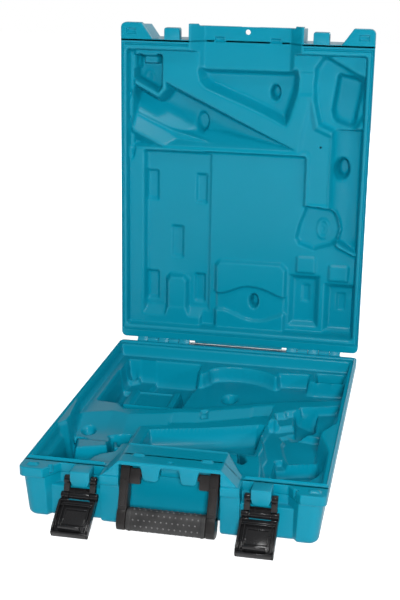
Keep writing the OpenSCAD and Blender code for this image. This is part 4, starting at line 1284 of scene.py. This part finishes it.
class ToolCaseStage(bpy.types.PropertyGroup):
    """The floor and the light."""
    floor_size: length("Floor size", "Length of each side of the floor", 12.0, 2.0, 40.0)
    floor_colour: colour("Floor colour", "Colour of the floor", (0.8, 0.8, 0.8))
    key_power: bpy.props.FloatProperty(name="Main lamp", description="Power of the main lamp", default=50.0,
                                       min=0.0, subtype="POWER", unit="POWER")
    fill: bpy.props.FloatProperty(name="Fill light", description="Strength of the light from all round",
                                  default=0.1, min=0.0, max=1.0, subtype="FACTOR")


class ToolCaseColours(bpy.types.PropertyGroup):
    """Colours of the materials."""
    case: colour("Case", "Colour of the moulded halves", (0.001, 0.25, 0.365))
    latch: colour("Latches", "Colour of the latch levers and links", (0.008, 0.008, 0.009))
    handle: colour("Handle", "Colour of the handle's frame", (0.0125, 0.012, 0.012))
    grip: colour("Grip", "Colour of the dimpled grip", (0.014, 0.014, 0.0145))
    steel: colour("Steel", "Colour of the hinge rod and the pins", (0.8, 0.81, 0.82))


class BuildCase:
    """What the operators share."""
    bl_options = {"REGISTER", "UNDO"}


class CASE_OT_stage(BuildCase, bpy.types.Operator):
    """Adds the floor, the lamps, the world and the camera"""
    bl_idname = "tool_case.stage"
    bl_label = "Stage"

    def execute(self, context):
        build_stage(context.scene.tool_case_stage)
        return {"FINISHED"}


class CASE_OT_base(BuildCase, bpy.types.Operator):
    """Builds the lower moulded half with its tray and handle bay"""
    bl_idname = "tool_case.base"
    bl_label = "Base moulding"

    def execute(self, context):
        build_base(finish_of("teal case plastic"), context.scene.tool_case_mouldings)
        return {"FINISHED"}


class CASE_OT_lid(BuildCase, bpy.types.Operator):
    """Builds the upper moulded half with its tray"""
    bl_idname = "tool_case.lid"
    bl_label = "Lid moulding"

    def execute(self, context):
        build_lid(finish_of("teal case plastic"), context.scene.tool_case_mouldings)
        return {"FINISHED"}


class CASE_OT_fittings(BuildCase, bpy.types.Operator):
    """Builds the lugs, handle tabs, catches, hinge knuckles and rod covers"""
    bl_idname = "tool_case.fittings"
    bl_label = "Lugs, catches and knuckles"

    def execute(self, context):
        build_fittings(finish_of("teal case plastic"), context.scene.tool_case_mouldings.lug_edge / MM)
        return {"FINISHED"}


class CASE_OT_handle(BuildCase, bpy.types.Operator):
    """Builds the handle's frame with its arms, pivots and stop blocks"""
    bl_idname = "tool_case.handle"
    bl_label = "Handle frame"

    def execute(self, context):
        build_handle(finish_of("satin handle plastic"), context.scene.tool_case_handle)
        return {"FINISHED"}


class CASE_OT_grip(BuildCase, bpy.types.Operator):
    """Builds the grip with its raised dots"""
    bl_idname = "tool_case.grip"
    bl_label = "Dimpled grip"

    def execute(self, context):
        build_grip(finish_of("grip rubber"), context.scene.tool_case_handle)
        return {"FINISHED"}


class CASE_OT_latches(BuildCase, bpy.types.Operator):
    """Builds the link and the lever of both latches"""
    bl_idname = "tool_case.latches"
    bl_label = "Latches"

    def execute(self, context):
        for side in ("left", "right"):
            build_link(side, finish_of("black latch plastic"), context.scene.tool_case_latches)
            build_lever(side, finish_of("black latch plastic"), context.scene.tool_case_latches)
        return {"FINISHED"}


class CASE_OT_steel(BuildCase, bpy.types.Operator):
    """Gives the hinge rod and the four latch pins their steel"""
    bl_idname = "tool_case.steel"
    bl_label = "Rod and pins"

    def execute(self, context):
        for name in STEEL_PARTS:
            if name not in frame["nodes"]:
                raise RuntimeError("the packed case has no part called " + name)
            part = frame["nodes"][name]
            if not part.material_slots:
                part.data.materials.append(finish_of("drawn steel"))
            for slot in part.material_slots:
                slot.material = finish_of("drawn steel")
        return {"FINISHED"}


STEEL_PARTS = ("hinge_rod", "left_base_pin", "left_lever_pin", "right_base_pin", "right_lever_pin")
OPERATORS = (CASE_OT_stage, CASE_OT_base, CASE_OT_lid, CASE_OT_fittings, CASE_OT_handle, CASE_OT_grip,
             CASE_OT_latches, CASE_OT_steel)
SETTINGS = {"tool_case_mouldings": ToolCaseMouldings, "tool_case_handle": ToolCaseHandle,
            "tool_case_latches": ToolCaseLatches, "tool_case_stage": ToolCaseStage,
            "tool_case_colours": ToolCaseColours}


class CASE_PT_sidebar(bpy.types.Panel):
    """The case's sizes and colours, and the operators that build it"""
    bl_label = "Hard tool case"
    bl_idname = "CASE_PT_sidebar"
    bl_space_type = "VIEW_3D"
    bl_region_type = "UI"
    bl_category = "Tool Case"

    def draw(self, context):
        for name in SETTINGS:
            group = getattr(context.scene, name)
            rows = self.layout.box()
            for key in group.bl_rna.properties.keys():
                if key not in ("rna_type", "name"):
                    rows.prop(group, key)
        for operator in OPERATORS:
            self.layout.operator(operator.bl_idname)


def register():
    for cls in (*SETTINGS.values(), *OPERATORS, CASE_PT_sidebar):
        bpy.utils.register_class(cls)
    for name, cls in SETTINGS.items():
        setattr(bpy.types.Scene, name, bpy.props.PointerProperty(type=cls))


def unregister():
    for name in SETTINGS:
        delattr(bpy.types.Scene, name)
    for cls in reversed((*SETTINGS.values(), *OPERATORS, CASE_PT_sidebar)):
        bpy.utils.unregister_class(cls)


def main():
    register()
    for operator in OPERATORS:
        group, name = operator.bl_idname.split(".")
        getattr(getattr(bpy.ops, group), name)()


if __name__ == "__main__":
    main()
